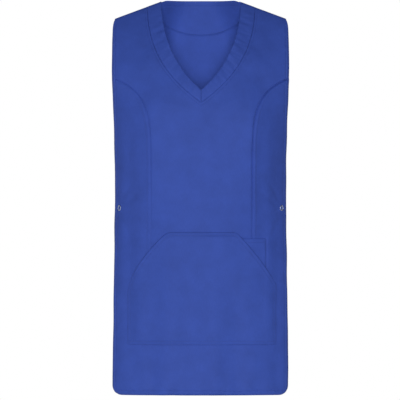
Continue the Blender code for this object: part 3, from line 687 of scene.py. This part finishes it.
def hem_gathers(flat, inset, length, seed):
    """Roping between the hem's stitches and its edge, and small gathers down the side hems."""
    x, z = flat[:, 0], flat[:, 1]
    up = z + length
    window = step(up, -0.001, 0.003) * (1 - step(up, 0.7 * HEM_DEPTH, 1.15 * HEM_DEPTH))
    rope = puckers(seed, laid(flat)[:, 0] + 0.8 * up, 0.0125, 0.00070) * window
    inward = from_side(flat, inset)
    side = step(inward, -0.001, 0.004) * (1 - step(inward, 0.010, 0.015)) * step(up, 0.02, 0.03)
    return rope + puckers(seed + 1, z + 0.5 * inward * np.sign(x), 0.016, 0.00026) * side


def hem_thickness(flat, inset, length):
    side = 1 - step(from_side(flat, inset), SIDE_HEM, SIDE_HEM + 0.0009)
    bottom = 1 - step(flat[:, 1] + length, HEM_DEPTH, HEM_DEPTH + 0.0009)
    return CLOTH + (HEM_CLOTH - CLOTH) * np.maximum(side, bottom)


def outline_rows(inset, length):
    """Lines just inside the side and hem edges, for a mesh that can hold their roll."""
    edge = outline(inset, length)
    return [beside_line(edge, -inward)[4:-4] for inward in (0.0016, 0.0034, 0.0055)]


def edge_roll(flat, inset, length):
    """How far the side and hem edges turn in, towards the wearer: less where a tab holds them."""
    gap = distance_to(outline(inset, length), flat)[0]
    share = np.clip(1 - gap / EDGE_ROLL_RUN, 0, 1)
    held = np.exp(-(((flat[:, 1] + SNAP_DROP) / 0.034) ** 4))
    free = step(ridge(flat[:, 0]) - flat[:, 1], 0.004, 0.030)
    return EDGE_ROLL * share**2 * free * (1 - 0.75 * held)


def add_mesh(name, points, faces, look, flat=None):
    """A smooth piece of cloth or thread. faces holds arrays of triangles and of quads."""
    mesh = bpy.data.meshes.new(name)
    points = np.asarray(points, np.float32)
    mesh.vertices.add(len(points))
    mesh.vertices.foreach_set("co", points.reshape(-1))
    loops = np.concatenate([f.reshape(-1) for f in faces]).astype(np.int32)
    sizes = np.concatenate([np.full(len(f), f.shape[1]) for f in faces]).astype(np.int32)
    mesh.loops.add(len(loops))
    mesh.loops.foreach_set("vertex_index", loops)
    mesh.polygons.add(len(sizes))
    mesh.polygons.foreach_set("loop_start", np.concatenate([[0], np.cumsum(sizes)[:-1]]).astype(np.int32))
    mesh.update(calc_edges=True)
    mesh.validate()
    if flat is not None:
        layer = mesh.uv_layers.new(name="cloth")
        layer.data.foreach_set("uv", np.asarray(flat, np.float32)[loops].reshape(-1))
    mesh.shade_smooth()
    mesh.materials.append(look)
    made = bpy.data.objects.new(name, mesh)
    bpy.context.scene.collection.objects.link(made)
    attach(made, "root")
    return made


def shell(flat_uv, outer, normal, thick, faces):
    """Two skins and a rounded rim. outer and normal are of the outer skin."""
    count = len(outer)
    inner = outer - normal * thick[:, None]
    edges = np.vstack([faces[:, [0, 1]], faces[:, [1, 2]], faces[:, [2, 0]]])
    key = edges[:, 0].astype(np.int64) * count + edges[:, 1]
    back_key = edges[:, 1].astype(np.int64) * count + edges[:, 0]
    border = edges[~np.isin(key, back_key)]
    out = np.zeros_like(outer)
    for k in (0, 1):
        run = outer[border[:, 1]] - outer[border[:, 0]]
        away = np.cross(run, normal[border[:, k]])
        away /= np.maximum(np.linalg.norm(away, axis=1), 1e-12)[:, None]
        np.add.at(out, border[:, k], away)
    length = np.linalg.norm(out, axis=1)
    out[length > 0] /= length[length > 0][:, None]
    rim = np.unique(border)
    half = (thick / 2)[:, None]
    outer = outer - out * half
    inner = inner - out * half
    centre = (outer + inner) / 2
    rings = []
    for turn in np.radians((50, 0, -50)):
        rings.append(centre + out * half * math.cos(turn) + normal * half * math.sin(turn))
    points = np.vstack([outer, inner] + [ring[rim] for ring in rings])
    uv = np.vstack([flat_uv, flat_uv] + [flat_uv[rim]] * len(rings))
    index = np.zeros(count, np.int64)
    index[rim] = np.arange(len(rim))
    ladder = [np.arange(count)]
    ladder += [2 * count + k * len(rim) + index for k in range(len(rings))]
    ladder.append(np.arange(count) + count)
    a, b = border[:, 0], border[:, 1]
    quads = [np.stack([low[b], low[a], high[a], high[b]], axis=1) for low, high in zip(ladder, ladder[1:])]
    return points, uv, [faces, faces[:, ::-1] + count, np.vstack(quads)]


def turned_out(faces, points, normal):
    """The faces, all turned over if the first one faces against its normal."""
    first = points[faces[0]]
    if np.cross(first[1] - first[0], first[2] - first[0]) @ normal[faces[0, 0]] < 0:
        return faces[:, ::-1]
    return faces


def even(thickness):
    return lambda flat: np.full(len(flat), thickness)


def cloth_piece(name, side, loop, lines, spacing, out_of, thick_of, look, turned_in=None):
    """A panel on the front (-1) or back (1), from its outline, its lines and how far it stands out."""
    flat, faces = cut_cloth(loop, lines, spacing)
    base, normal = on_body(side, flat[:, 0], flat[:, 1])
    faces = turned_out(faces, base, normal)
    outer = base + normal * out_of(flat)[:, None]
    if turned_in:
        outer[:, 1] -= side * turned_in(flat)
    points, uv, faces = shell(laid(flat), outer, normal, thick_of(flat), faces)
    # Nothing crosses the shoulder seam's plane.
    near = np.abs(points[:, 0]) > NECK_HALF - 0.005
    near &= ridge(points[:, 0]) - points[:, 2] < 0.004
    points[near, 1] = side * np.maximum(points[near, 1] * side, 0.0001)
    return add_mesh(name, points, faces, look, uv)


def hemmed_piece(name, side, edges, loop, lines, out_of):
    """The front or the back, with thick hems and edges that turn in."""
    return cloth_piece(name, side, loop, lines, COARSE, out_of, lambda flat: hem_thickness(flat, *edges),
                       CLOTH_LOOK, lambda flat: edge_roll(flat, *edges))


def stitch_faces():
    """The quads round one stitch and the triangles over its ends, by the places of its own points."""
    quads = []
    for ring in range(len(STITCH_SHAPE) - 1):
        here, there = ring * STITCH_SIDES, (ring + 1) * STITCH_SIDES
        for k in range(STITCH_SIDES):
            m = (k + 1) % STITCH_SIDES
            quads.append((here + k, here + m, there + m, there + k))
    ends = []
    first_cap = np.arange(STITCH_SIDES)[::-1]
    last_cap = np.arange(STITCH_SIDES) + (len(STITCH_SHAPE) - 1) * STITCH_SIDES
    for cap in (first_cap, last_cap):
        ends += [(cap[0], cap[k], cap[k + 1]) for k in range(1, STITCH_SIDES - 1)]
    return np.array(quads), np.array(ends)


def threads(name, side, rows, out_of):
    """Rows of stitches: a small rounded capsule of thread for each, half sunk in its trough."""
    stitches = []
    for row in rows:
        flat = laid(resampled(laid(row), STITCH_PITCH), back=True)
        base, normal = on_body(side, flat[:, 0], flat[:, 1])
        at = base + normal * (out_of(flat) + 0.25 * STITCH_RADIUS)[:, None]
        middle = (at[1:] + at[:-1]) / 2
        along = unit(at[1:] - at[:-1])
        aside = unit(np.cross(along, (normal[1:] + normal[:-1]) / 2))
        up = np.cross(aside, along)
        points = []
        for share, fat in STITCH_SHAPE:
            for turn in 2 * math.pi * np.arange(STITCH_SIDES) / STITCH_SIDES:
                reach = STITCH_RADIUS * fat * (aside * math.cos(turn) + up * math.sin(turn))
                points.append(middle + along * STITCH_LONG * share + reach)
        stitches.append(np.stack(points, axis=1).reshape(-1, 3))
    points = np.vstack(stitches)
    first = np.arange(0, len(points), len(STITCH_SHAPE) * STITCH_SIDES)[:, None, None]
    faces = [(places[None] + first).reshape(-1, places.shape[1]) for places in stitch_faces()]
    # The thread's darker colour is painted shade along the rows of stitches.
    return add_mesh(name, points, faces, THREAD_PAINTED_SHADE_LOOK)


def new_material(name):
    made = bpy.data.materials.new(name)
    made.use_nodes = True
    return made, made.node_tree, made.node_tree.nodes["Principled BSDF"]


def set_inputs(node, **settings):
    """Sets a node's inputs by their names, with an underscore for each space."""
    for name, value in settings.items():
        node.inputs[name.replace("_", " ")].default_value = value


def noise(tree, place, **settings):
    node = tree.nodes.new("ShaderNodeTexNoise")
    set_inputs(node, **settings)
    if place:
        tree.links.new(place, node.inputs["Vector"])
    return node.outputs[0]


def math_node(tree, operation, *values):
    node = tree.nodes.new("ShaderNodeMath")
    node.operation = operation
    for socket, value in zip(node.inputs, values):
        if isinstance(value, (int, float)):
            socket.default_value = value
        else:
            tree.links.new(value, socket)
    return node.outputs[0]


def shade_between(tree, shader, share, colour, shades, ends=(0.0, 1.0)):
    """Colours the shader between a darker and a lighter shade of a colour."""
    ramp = tree.nodes.new("ShaderNodeValToRGB")
    for element, shade, end in zip(ramp.color_ramp.elements, shades, ends):
        element.position = end
        element.color = tuple(min(c * shade, 1.0) for c in colour) + (1.0,)
    tree.links.new(share, ramp.inputs[0])
    tree.links.new(ramp.outputs[0], shader.inputs["Base Color"])


def bumped(tree, height, strength, distance, under=None):
    """A normal that a height roughens, over another normal if one is given."""
    node = tree.nodes.new("ShaderNodeBump")
    set_inputs(node, Strength=strength, Distance=distance)
    tree.links.new(height, node.inputs["Height"])
    if under:
        tree.links.new(under, node.inputs["Normal"])
    return node.outputs[0]


def own_place(tree):
    return tree.nodes.new("ShaderNodeTexCoord").outputs["Object"]


def cloth_material(name, colour):
    """Matte plain weave: threads both ways in the cloth's own directions, slubs and a soft mottle."""
    made, tree, shader = new_material(name)
    uv = tree.nodes.new("ShaderNodeUVMap")
    uv.uv_map = "cloth"
    split = tree.nodes.new("ShaderNodeSeparateXYZ")
    tree.links.new(uv.outputs[0], split.inputs[0])
    waves = [math_node(tree, "MULTIPLY", split.outputs[k], 2 * math.pi / WEAVE_PITCH) for k in (0, 1)]
    weave = math_node(tree, "MULTIPLY", *[math_node(tree, "SINE", wave) for wave in waves])
    stretch = tree.nodes.new("ShaderNodeMapping")
    set_inputs(stretch, Scale=(900.0, 120.0, 1.0))
    tree.links.new(uv.outputs[0], stretch.inputs[0])
    slub = noise(tree, stretch.outputs[0], Scale=1.0, Detail=3.0)
    place = own_place(tree)
    mottle = noise(tree, place, Scale=26.0, Detail=4.0, Roughness=0.6)
    shares = [math_node(tree, "MULTIPLY", *pair) for pair in ((mottle, 0.6), (slub, 0.4))]
    shade_between(tree, shader, math_node(tree, "ADD", *shares), colour, (0.85, 1.15), (0.25, 0.75))
    broad = bumped(tree, noise(tree, place, Scale=75.0, Detail=2.0), 0.35, 0.0006)
    height = math_node(tree, "ADD", math_node(tree, "MULTIPLY", weave, 0.5), slub)
    tree.links.new(bumped(tree, height, 0.35, WEAVE_HEIGHT, broad), shader.inputs["Normal"])
    set_inputs(shader, Roughness=0.75, Specular_IOR_Level=0.25)
    set_inputs(shader, Sheen_Weight=0.06, Sheen_Roughness=0.45, Sheen_Tint=(0.55, 0.65, 1.0, 1.0))
    return made


def thread_material(name, colour):
    made, tree, shader = new_material(name)
    twist = noise(tree, own_place(tree), Scale=1800.0)
    shade_between(tree, shader, twist, colour, (0.75, 1.25))
    set_inputs(shader, Roughness=0.6)
    return made


def metal_material(name, colour, rough):
    """Plated metal with fine wear in its shade, gloss and surface."""
    made, tree, shader = new_material(name)
    wear = noise(tree, own_place(tree), Scale=420.0, Detail=4.0)
    shade_between(tree, shader, wear, colour, (0.86, 1.0))
    dull = tree.nodes.new("ShaderNodeMapRange")
    set_inputs(dull, To_Min=rough - 0.06, To_Max=rough + 0.12)
    tree.links.new(wear, dull.inputs["Value"])
    tree.links.new(dull.outputs[0], shader.inputs["Roughness"])
    tree.links.new(bumped(tree, wear, 0.15, 0.00005), shader.inputs["Normal"])
    set_inputs(shader, Metallic=1.0)
    return made


def floor_material(name):
    made, tree, shader = new_material(name)
    shade_between(tree, shader, noise(tree, None, Scale=3.0), (1.0, 1.0, 1.0), (0.80, 0.86))
    set_inputs(shader, Roughness=0.9)
    return made


CLOTH_LOOK = cloth_material("royal_blue_plain_weave", BLUE)
# A paler copy of the cloth for the back's inner skin and the facing: partly the wrong side of the cloth,
# partly painted light where little light reaches inside the neck.
INSIDE_PAINTED_LIGHT_LOOK = cloth_material("royal_blue_wrong_side_painted_light", tuple(1.13 * c for c in BLUE))
# The stitches are real thread, but their darker blue is painted shade for the shadow in and beside each
# stitch.
THREAD_PAINTED_SHADE_LOOK = thread_material("royal_blue_thread_painted_shade", tuple(0.70 * c for c in BLUE))
STEEL_LOOK = metal_material("bright_nickel", NICKEL, 0.38)


def build_front():
    neck_x = BAND_OUTER[0][0]
    neck = neck_line()
    loop = panel_loop(*FRONT_EDGES, neck_x + NECK_SHIFT, -neck_x + NECK_SHIFT, neck[::-1], 0.0034)
    hem_row = hem_line(*FRONT_EDGES)
    neck_row = neck_line(NECK_ROW)[2:-2]
    darts = [dart_line(1), dart_line(-1)]
    dart_rows = [beside_line(dart, aside)[3:] for dart, aside in zip(darts, (DART_ROW, -DART_ROW))]
    dart_rows = [row[row[:, 1] < -DART_ROW_TOP] for row in dart_rows]
    phone_edge = resampled(polyline(PHONE_EDGE), LINE_SPACING)

    def out_of(flat):
        out = front_waves(flat) + hem_gathers(flat, *FRONT_EDGES, 21)
        out += groove(flat, hem_row, HEM_TROUGH, 31)
        out += groove(flat, neck_row, NECK_TROUGH, 32)
        out += groove(flat, phone_edge, PHONE_EDGE_TROUGH)
        out += strip(flat, neck, NECK_ROW, 0.0002, -1)
        fade = 1 - 0.7 * step(-flat[:, 1], *DART_TROUGH_FADE)
        for k, (dart, row) in enumerate(zip(darts, dart_rows)):
            deep, width = DART_TROUGHS[k]
            out -= deep * fade * bell(distance_to(dart, flat)[0], width)
            out += groove(flat, row, DART_ROW_TROUGH, 33 + k)
            out += strip(flat, dart, DART_ROW, 0.00050, 1 - 2 * k)
        return out

    lines = stitched(hem_row) + stitched(neck_row) + stitched(phone_edge) + outline_rows(*FRONT_EDGES)
    for dart, row in zip(darts, dart_rows):
        lines.append(dart)
        lines += [resampled(beside_line(dart, a), LINE_SPACING) for a in (0.0009, -0.0009, 0.0022, -0.0022)]
        lines += stitched(row)
    for side in (1, -1):
        start = side * neck_x + NECK_SHIFT + side * 0.006
        lines += shoulder_rows(start, side * (SHOULDER_TIP - 0.014))
    piece = hemmed_piece("front_cloth", -1, FRONT_EDGES, loop, lines, out_of)
    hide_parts("front")
    return piece, threads("front_stitches", -1, [hem_row, neck_row] + dart_rows, out_of)


def show_wrong_side_painted_light(piece):
    """Gives the skin that faces the wearer a paler copy of the cloth: partly the cloth's wrong side, partly
    painted light where it shows inside the neck.
    """
    mesh = piece.data
    mesh.materials.append(INSIDE_PAINTED_LIGHT_LOOK)
    corners = np.empty(len(mesh.polygons), np.int32)
    mesh.polygons.foreach_get("loop_total", corners)
    skins = int((corners == 3).sum())
    index = np.zeros(len(mesh.polygons), np.int32)
    index[skins // 2:skins] = 1
    mesh.polygons.foreach_set("material_index", index)


def back_neck():
    """The back neck edge, from the wearer's right to left."""
    xs = BACK_NECK_HALF * np.sin(np.linspace(-1, 1, 60) * math.pi / 2)
    rise = BACK_NECK_RISE * step(NECK_HALF - np.abs(xs), 0.0, BACK_NECK_RISE_RUN)
    return np.stack([xs, np.minimum(ridge(xs), rise) - 0.0006], axis=1)


def back_neck_row():
    edge = back_neck()
    edge = edge[np.abs(edge[:, 0]) < 0.078]
    return np.stack([edge[:, 0] * 1.05, edge[:, 1] - BACK_NECK_ROW], axis=1)


def build_back():
    loop = panel_loop(*BACK_EDGES, BACK_NECK_HALF, -BACK_NECK_HALF, back_neck(), 0.0036)
    hem_row = hem_line(*BACK_EDGES)
    neck_row = back_neck_row()

    def out_of(flat):
        out = back_waves(flat) + hem_gathers(flat, *BACK_EDGES, 41)
        out += groove(flat, hem_row, HEM_TROUGH, 51)
        return out + groove(flat, neck_row, NECK_TROUGH, 52)

    lines = stitched(hem_row) + stitched(neck_row) + outline_rows(*BACK_EDGES)
    for side in (1, -1):
        lines += shoulder_rows(side * (NECK_HALF + 0.006), side * (SHOULDER_TIP - BACK_INSET - 0.014))
    piece = hemmed_piece("back_cloth", 1, BACK_EDGES, loop, lines, out_of)
    # The inner skin gets the paler inside cloth: painted light where it shows through the neck.
    show_wrong_side_painted_light(piece)
    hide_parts("back")
    return piece, threads("back_stitches", 1, [hem_row, neck_row], out_of)


def facing_low():
    """The facing's lower edge, from the wearer's left to right."""
    xs = np.linspace(FACING_HALF, -FACING_HALF, 60)
    share = (np.abs(xs) / FACING_HALF) ** FACING_CURVE
    return np.stack([xs, -FACING_DROP + (FACING_DROP - FACING_END) * share], axis=1)


def build_facing():
    xs = np.linspace(NECK_HALF + 0.004, FACING_HALF, 14)
    left = np.stack([xs, ridge(xs) - FACING_SETBACK], axis=1)
    right = mirrored(left)[::-1]
    neck = back_neck()
    joins = [np.array([right[-1], neck[0]]), np.array([neck[-1], left[0]])]
    loop = joined_loop([right, joins[0], neck, joins[1], left, facing_low()], 0.0028)
    neck_row = back_neck_row()
    low_edge = resampled(facing_low(), 0.004)
    low_row = beside_line(low_edge, -FACING_ROW)[3:-3]

    def out_of(flat):
        out = -CLOTH - SEAM_GAP + back_waves(flat)
        out -= groove(flat, neck_row, NECK_TROUGH, 52)
        gap = distance_to(low_edge, flat)[0]
        out -= 0.0019 * step(gap, 0.0014, 0.0042) * (1 - step(gap, 0.0046, 0.0120))
        return out + unevenness(flat[:, 0], flat[:, 1], 61, 0.00008, 0.05)

    def thread_out_of(flat):
        return out_of(flat) - FACING_CLOTH - 0.5 * STITCH_RADIUS

    lines = stitched(neck_row, FINE) + stitched(low_row, FINE)
    # The facing wears the paler inside cloth: painted light inside the neck.
    piece = cloth_piece("neck_facing_cloth", 1, loop, lines, FINE, out_of, even(FACING_CLOTH), INSIDE_PAINTED_LIGHT_LOOK)
    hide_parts("back_neck_facing")
    return piece, threads("facing_stitches", 1, [neck_row, low_row], thread_out_of)


def build_band(side, word):
    """One side's neck band, on the wearer's left (1) or right (-1), up to the mitre of the V."""
    gap = SEAM_GAP / 2
    inner = bezier(BAND_INNER, 60)
    outer = beside(bezier(BAND_OUTER, 60), -gap)
    xs = np.linspace(inner[0, 0], outer[0, 0], 12)
    top = np.stack([xs, ridge(xs + side * NECK_SHIFT)], axis=1)
    outer = np.vstack([top[-1:], outer[1:-1], [(gap, outer[-1, 1])]])
    inner = np.vstack([top[:1], inner[1:-1], [(gap, inner[-1, 1] - gap)]])
    mitre = np.array([outer[-1], inner[-1]])
    loop = joined_loop([top, outer, mitre, inner[::-1]], 0.0026)
    loop, edge = [line * (side, 1) + (NECK_SHIFT, 0.0) for line in (loop, outer)]

    def out_of(flat):
        far, along, _ = distance_to(edge, flat)
        share = np.clip(far / BAND_WIDTH, 0, 1)
        wave = puckers(71 + side, along + 0.35 * far, 0.019, 0.00055) * (0.35 + 0.65 * share)
        wave += puckers(75 + side, along, 0.0085, 0.00018)
        crown = 0.0006 * np.sin(math.pi * share) - 0.0010 * bell(far, 0.0018)
        hold = step(ridge(flat[:, 0]) - flat[:, 1], 0.0, 0.02)
        return BAND_PROUD + (wave + crown + front_waves(flat)) * hold

    lines = shoulder_rows(side * 0.0895 + NECK_SHIFT, side * 0.1145 + NECK_SHIFT)
    name = "neck_band_cloth_" + word
    piece = cloth_piece(name, -1, loop, lines, FINE, out_of, even(BAND_CLOTH), CLOTH_LOOK)
    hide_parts("neck_band_" + word)
    return piece


def pocket_edges():
    """The pocket's six edges, in the order of POCKET_EDGES."""
    corners = polyline(POCKET_CORNERS)
    edges = []
    for k, (start, end) in enumerate(zip(corners, np.roll(corners, -1, axis=0))):
        if k in POCKET_MOUTHS:
            edges.append(bent(start, polyline([POCKET_MOUTHS[k]])[0], end, 41))
        else:
            edges.append(resampled([start, end], LINE_SPACING))
    return edges


def pocket_loop(edges):
    """The pocket's outline, with its corners rounded."""
    radii = [row[3] for row in POCKET_EDGES]
    cut = [shortened(*ends) for ends in zip(edges, radii, radii[1:] + radii[:1])]
    parts = []
    for edge, before, after in zip(edges, cut, cut[1:] + cut[:1]):
        parts += [before, bent(before[-1], edge[-1], after[0], 9)]
    return joined_loop(parts, 0.0032)


def pocket_lift(flat):
    """How far the pocket stands off the front: sewn down at its edges, loose at its two mouths."""
    x, z = flat[:, 0], flat[:, 1]
    sides = np.minimum(x - POCKET_CORNERS[0][0], POCKET_CORNERS[-1][0] - x)
    top = -POCKET_CORNERS[2][1] - z
    bottom = z + POCKET_CORNERS[0][1]
    sewn = np.maximum(np.minimum(np.minimum(0.55 * sides, top), bottom), 0.0)
    lift = SEAM_GAP + (POCKET_LIFT - SEAM_GAP) * step(sewn, 0.0, POCKET_LIFT_RUN)
    for k, gape in POCKET_GAPES.items():
        gap, along, _ = distance_to(pocket_edges()[k], flat)
        lift += gape * bell(gap, 0.014) * np.sin(np.clip(along / 0.15, 0, 1) * math.pi)
    return lift


def build_pocket():
    edges = pocket_edges()

    def inside_edge(k, inward, short):
        row = shortened(beside(laid(edges[k]), -inward), short, short)
        return laid(resampled(row, LINE_SPACING), back=True)

    rows = [inside_edge(k, POCKET_ROW, 0.004) for k in range(6)]
    edge_rows = [inside_edge(k, POCKET_EDGE_ROW, 0.003) for k in (0, 2, 4, 5)]
    lines = [inside_edge(k, inward, 0.006) for k in range(6) for inward in (0.0009, 0.0019, 0.0030)]
    for row in rows:
        lines += stitched(row)

    def out_of(flat):
        lift = pocket_lift(flat)
        out = lift + POCKET_CLOTH + front_waves(flat)
        out += unevenness(flat[:, 0], flat[:, 1] * 0.55, 81, 0.00045, 0.085) * step(lift, 0.001, 0.003)
        for edge, (dip, run, _, _) in zip(edges, POCKET_EDGES):
            out -= dip * np.clip(1 - distance_to(edge, flat)[0] / run, 0, 1) ** 2
        for k, row in enumerate(rows):
            out += groove(flat, row, (POCKET_EDGES[k][2], TROUGH_WIDTH, POCKET_ROW_PULL), 82 + k)
        return out

    piece = cloth_piece("pocket_cloth", -1, pocket_loop(edges), lines, MEDIUM, out_of,
                        even(POCKET_CLOTH), CLOTH_LOOK)
    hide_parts("kangaroo_pocket")
    return piece, threads("pocket_stitches", -1, rows + edge_rows, out_of)


def build_phone_pocket():
    loop = rounded_polygon(polyline(PHONE_CORNERS), 0.001, 0.003)
    top, side = [resampled(polyline(row), LINE_SPACING) for row in (PHONE_TOP_ROW, PHONE_SIDE_ROW)]

    def out_of(flat):
        out = PHONE_PROUD + CLOTH + front_waves(flat)
        gap = distance_to(np.vstack([loop, loop[:1]]), flat)[0]
        out -= 0.0009 * np.clip(1 - gap / 0.0032, 0, 1) ** 2
        return out + groove(flat, top, PHONE_ROW_TROUGH, 91)

    piece = cloth_piece("phone_pocket_cloth", -1, loop, stitched(top), MEDIUM, out_of,
                        even(CLOTH), CLOTH_LOOK)
    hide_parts("phone_pocket")
    return piece, threads("phone_pocket_stitches", -1, [top, side], out_of)


def tab_rows(side, levels):
    """Points of the tab's outer face at each level, from its free end under the front to the back."""
    rows = []
    for z in levels:
        xs = np.linspace(TAB_FREE_END, TAB_LEAVES_FRONT, 18)
        point, normal = on_body(-1, side * xs, np.full(18, z))
        start = point - normal * TAB_DEPTH
        edge = float(side_edge(np.array([-z]), BACK_INSET)[0])
        xs = np.linspace(edge - TAB_SET_IN, edge - TAB_SEWN, 10)
        point, normal = on_body(1, side * xs, np.full(10, z))
        sewn = point - normal * TAB_BEHIND_BACK
        chord = np.linalg.norm(sewn[0] - start[-1])
        t = np.linspace(0, 1, 18)[1:-1, None]
        into, out = unit(start[-1] - start[-2]), unit(sewn[1] - sewn[0])
        rows.append(np.vstack([start, smooth_run(t, chord, start[-1], into, sewn[0], out), sewn]))
    return np.array(rows)


def build_tab(side, word):
    levels = np.linspace(-SNAP_DROP + TAB_HALF, -SNAP_DROP - TAB_HALF, 17)
    outer = tab_rows(side, levels)
    rows, cols = outer.shape[:2]
    normal = unit(np.cross(np.gradient(outer, axis=0), np.gradient(outer, axis=1)) * side)
    runs = runs_along(outer[rows // 2])
    rise = np.abs(levels + SNAP_DROP)[:, None]
    trough = 0.00035 * bell(rise - 0.0185, 0.0012)
    bend = 0.0008 * np.sin(np.linspace(0, math.pi, cols))[None] * np.sin(levels * 160)[:, None]
    window = step(runs, 0.03, 0.055) * (1 - step(runs, 0.085, 0.11))
    outer = outer - normal * (trough + bend * window[None])[:, :, None]
    index = np.arange(rows * cols).reshape(rows, cols)
    a, b = index[:-1, :-1].reshape(-1), index[:-1, 1:].reshape(-1)
    c, d = index[1:, 1:].reshape(-1), index[1:, :-1].reshape(-1)
    faces = np.vstack([np.stack([a, b, c], 1), np.stack([a, c, d], 1)])
    outer, normal = outer.reshape(-1, 3), normal.reshape(-1, 3)
    faces = turned_out(faces, outer, normal)
    uv = np.stack([np.tile(runs, rows), np.repeat(levels, cols)], axis=1)
    points, uv, faces = shell(uv, outer, normal, np.full(rows * cols, TAB_CLOTH), faces)
    piece = add_mesh("side_tab_cloth_" + word, points, faces, CLOTH_LOOK, uv)
    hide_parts("side_tab_" + word)
    return piece


def add_light(name, azimuth, elevation, away, size, power):
    """A square soft light that faces the vest, from a direction in degrees: 0 is straight in front."""
    data = bpy.data.lights.new(name, "AREA")
    data.shape = "SQUARE"
    data.size = size
    data.energy = power
    turn, lift = math.radians(azimuth), math.radians(elevation)
    out = Vector((math.sin(turn) * math.cos(lift), -math.cos(turn) * math.cos(lift), math.sin(lift)))
    made = bpy.data.objects.new(name, data)
    made.location = Vector(LIT_MIDDLE) + away * out
    made.rotation_euler = (-out).to_track_quat("-Z", "Y").to_euler()
    made.visible_camera = False
    bpy.context.scene.collection.objects.link(made)


def build_floor():
    mesh = bpy.data.meshes.new("studio_floor")
    corners = [(x * FLOOR_HALF, y * FLOOR_HALF, -FLOOR_DROP) for x, y in ((-1, -1), (1, -1), (1, 1), (-1, 1))]
    mesh.from_pydata(corners, [], [(0, 1, 2, 3)])
    mesh.materials.append(floor_material("pale_floor"))
    floor = bpy.data.objects.new("studio_floor", mesh)
    bpy.context.scene.collection.objects.link(floor)


def build_world():
    """White behind the vest, and much dimmer where it lights the vest."""
    world = bpy.data.worlds.new("studio")
    bpy.context.scene.world = world
    world.use_nodes = True
    nodes, links = world.node_tree.nodes, world.node_tree.links
    sky, seen = nodes["Background"], nodes.new("ShaderNodeBackground")
    set_inputs(sky, Color=(1.0, 1.0, 1.0, 1.0), Strength=AMBIENT)
    set_inputs(seen, Color=(1.0, 1.0, 1.0, 1.0), Strength=1.0)
    mix = nodes.new("ShaderNodeMixShader")
    links.new(nodes.new("ShaderNodeLightPath").outputs["Is Camera Ray"], mix.inputs[0])
    links.new(sky.outputs[0], mix.inputs[1])
    links.new(seen.outputs[0], mix.inputs[2])
    links.new(mix.outputs[0], nodes["World Output"].inputs[0])
    bpy.context.scene.view_settings.view_transform = "Standard"
    bpy.context.scene.view_settings.look = "None"


def build_camera():
    data = bpy.data.cameras.new("camera")
    data.sensor_width = SENSOR
    data.lens = SENSOR * CAMERA_AWAY / (PICTURE * PIXEL)
    data.clip_end = 60.0
    made = bpy.data.objects.new("camera", data)
    made.location = (CAMERA_AIM[0], CAMERA_AIM[1] - CAMERA_AWAY, CAMERA_AIM[2])
    made.rotation_euler = (math.radians(90), 0, 0)
    bpy.context.scene.collection.objects.link(made)
    bpy.context.scene.camera = made


front, front_sewing = build_front()
back, back_sewing = build_back()
facing, facing_sewing = build_facing()
bands = [build_band(1, "left"), build_band(-1, "right")]
pocket, pocket_sewing = build_pocket()
phone, phone_sewing = build_phone_pocket()
tabs = [build_tab(1, "left"), build_tab(-1, "right")]
for name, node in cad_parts.items():
    if name.startswith("snap_"):
        node.data.materials.clear()
        node.data.materials.append(STEEL_LOOK)
        for face in node.data.polygons:
            face.use_smooth = True

build_floor()
build_world()
for row in LIGHTS:
    add_light(*row)
build_camera()
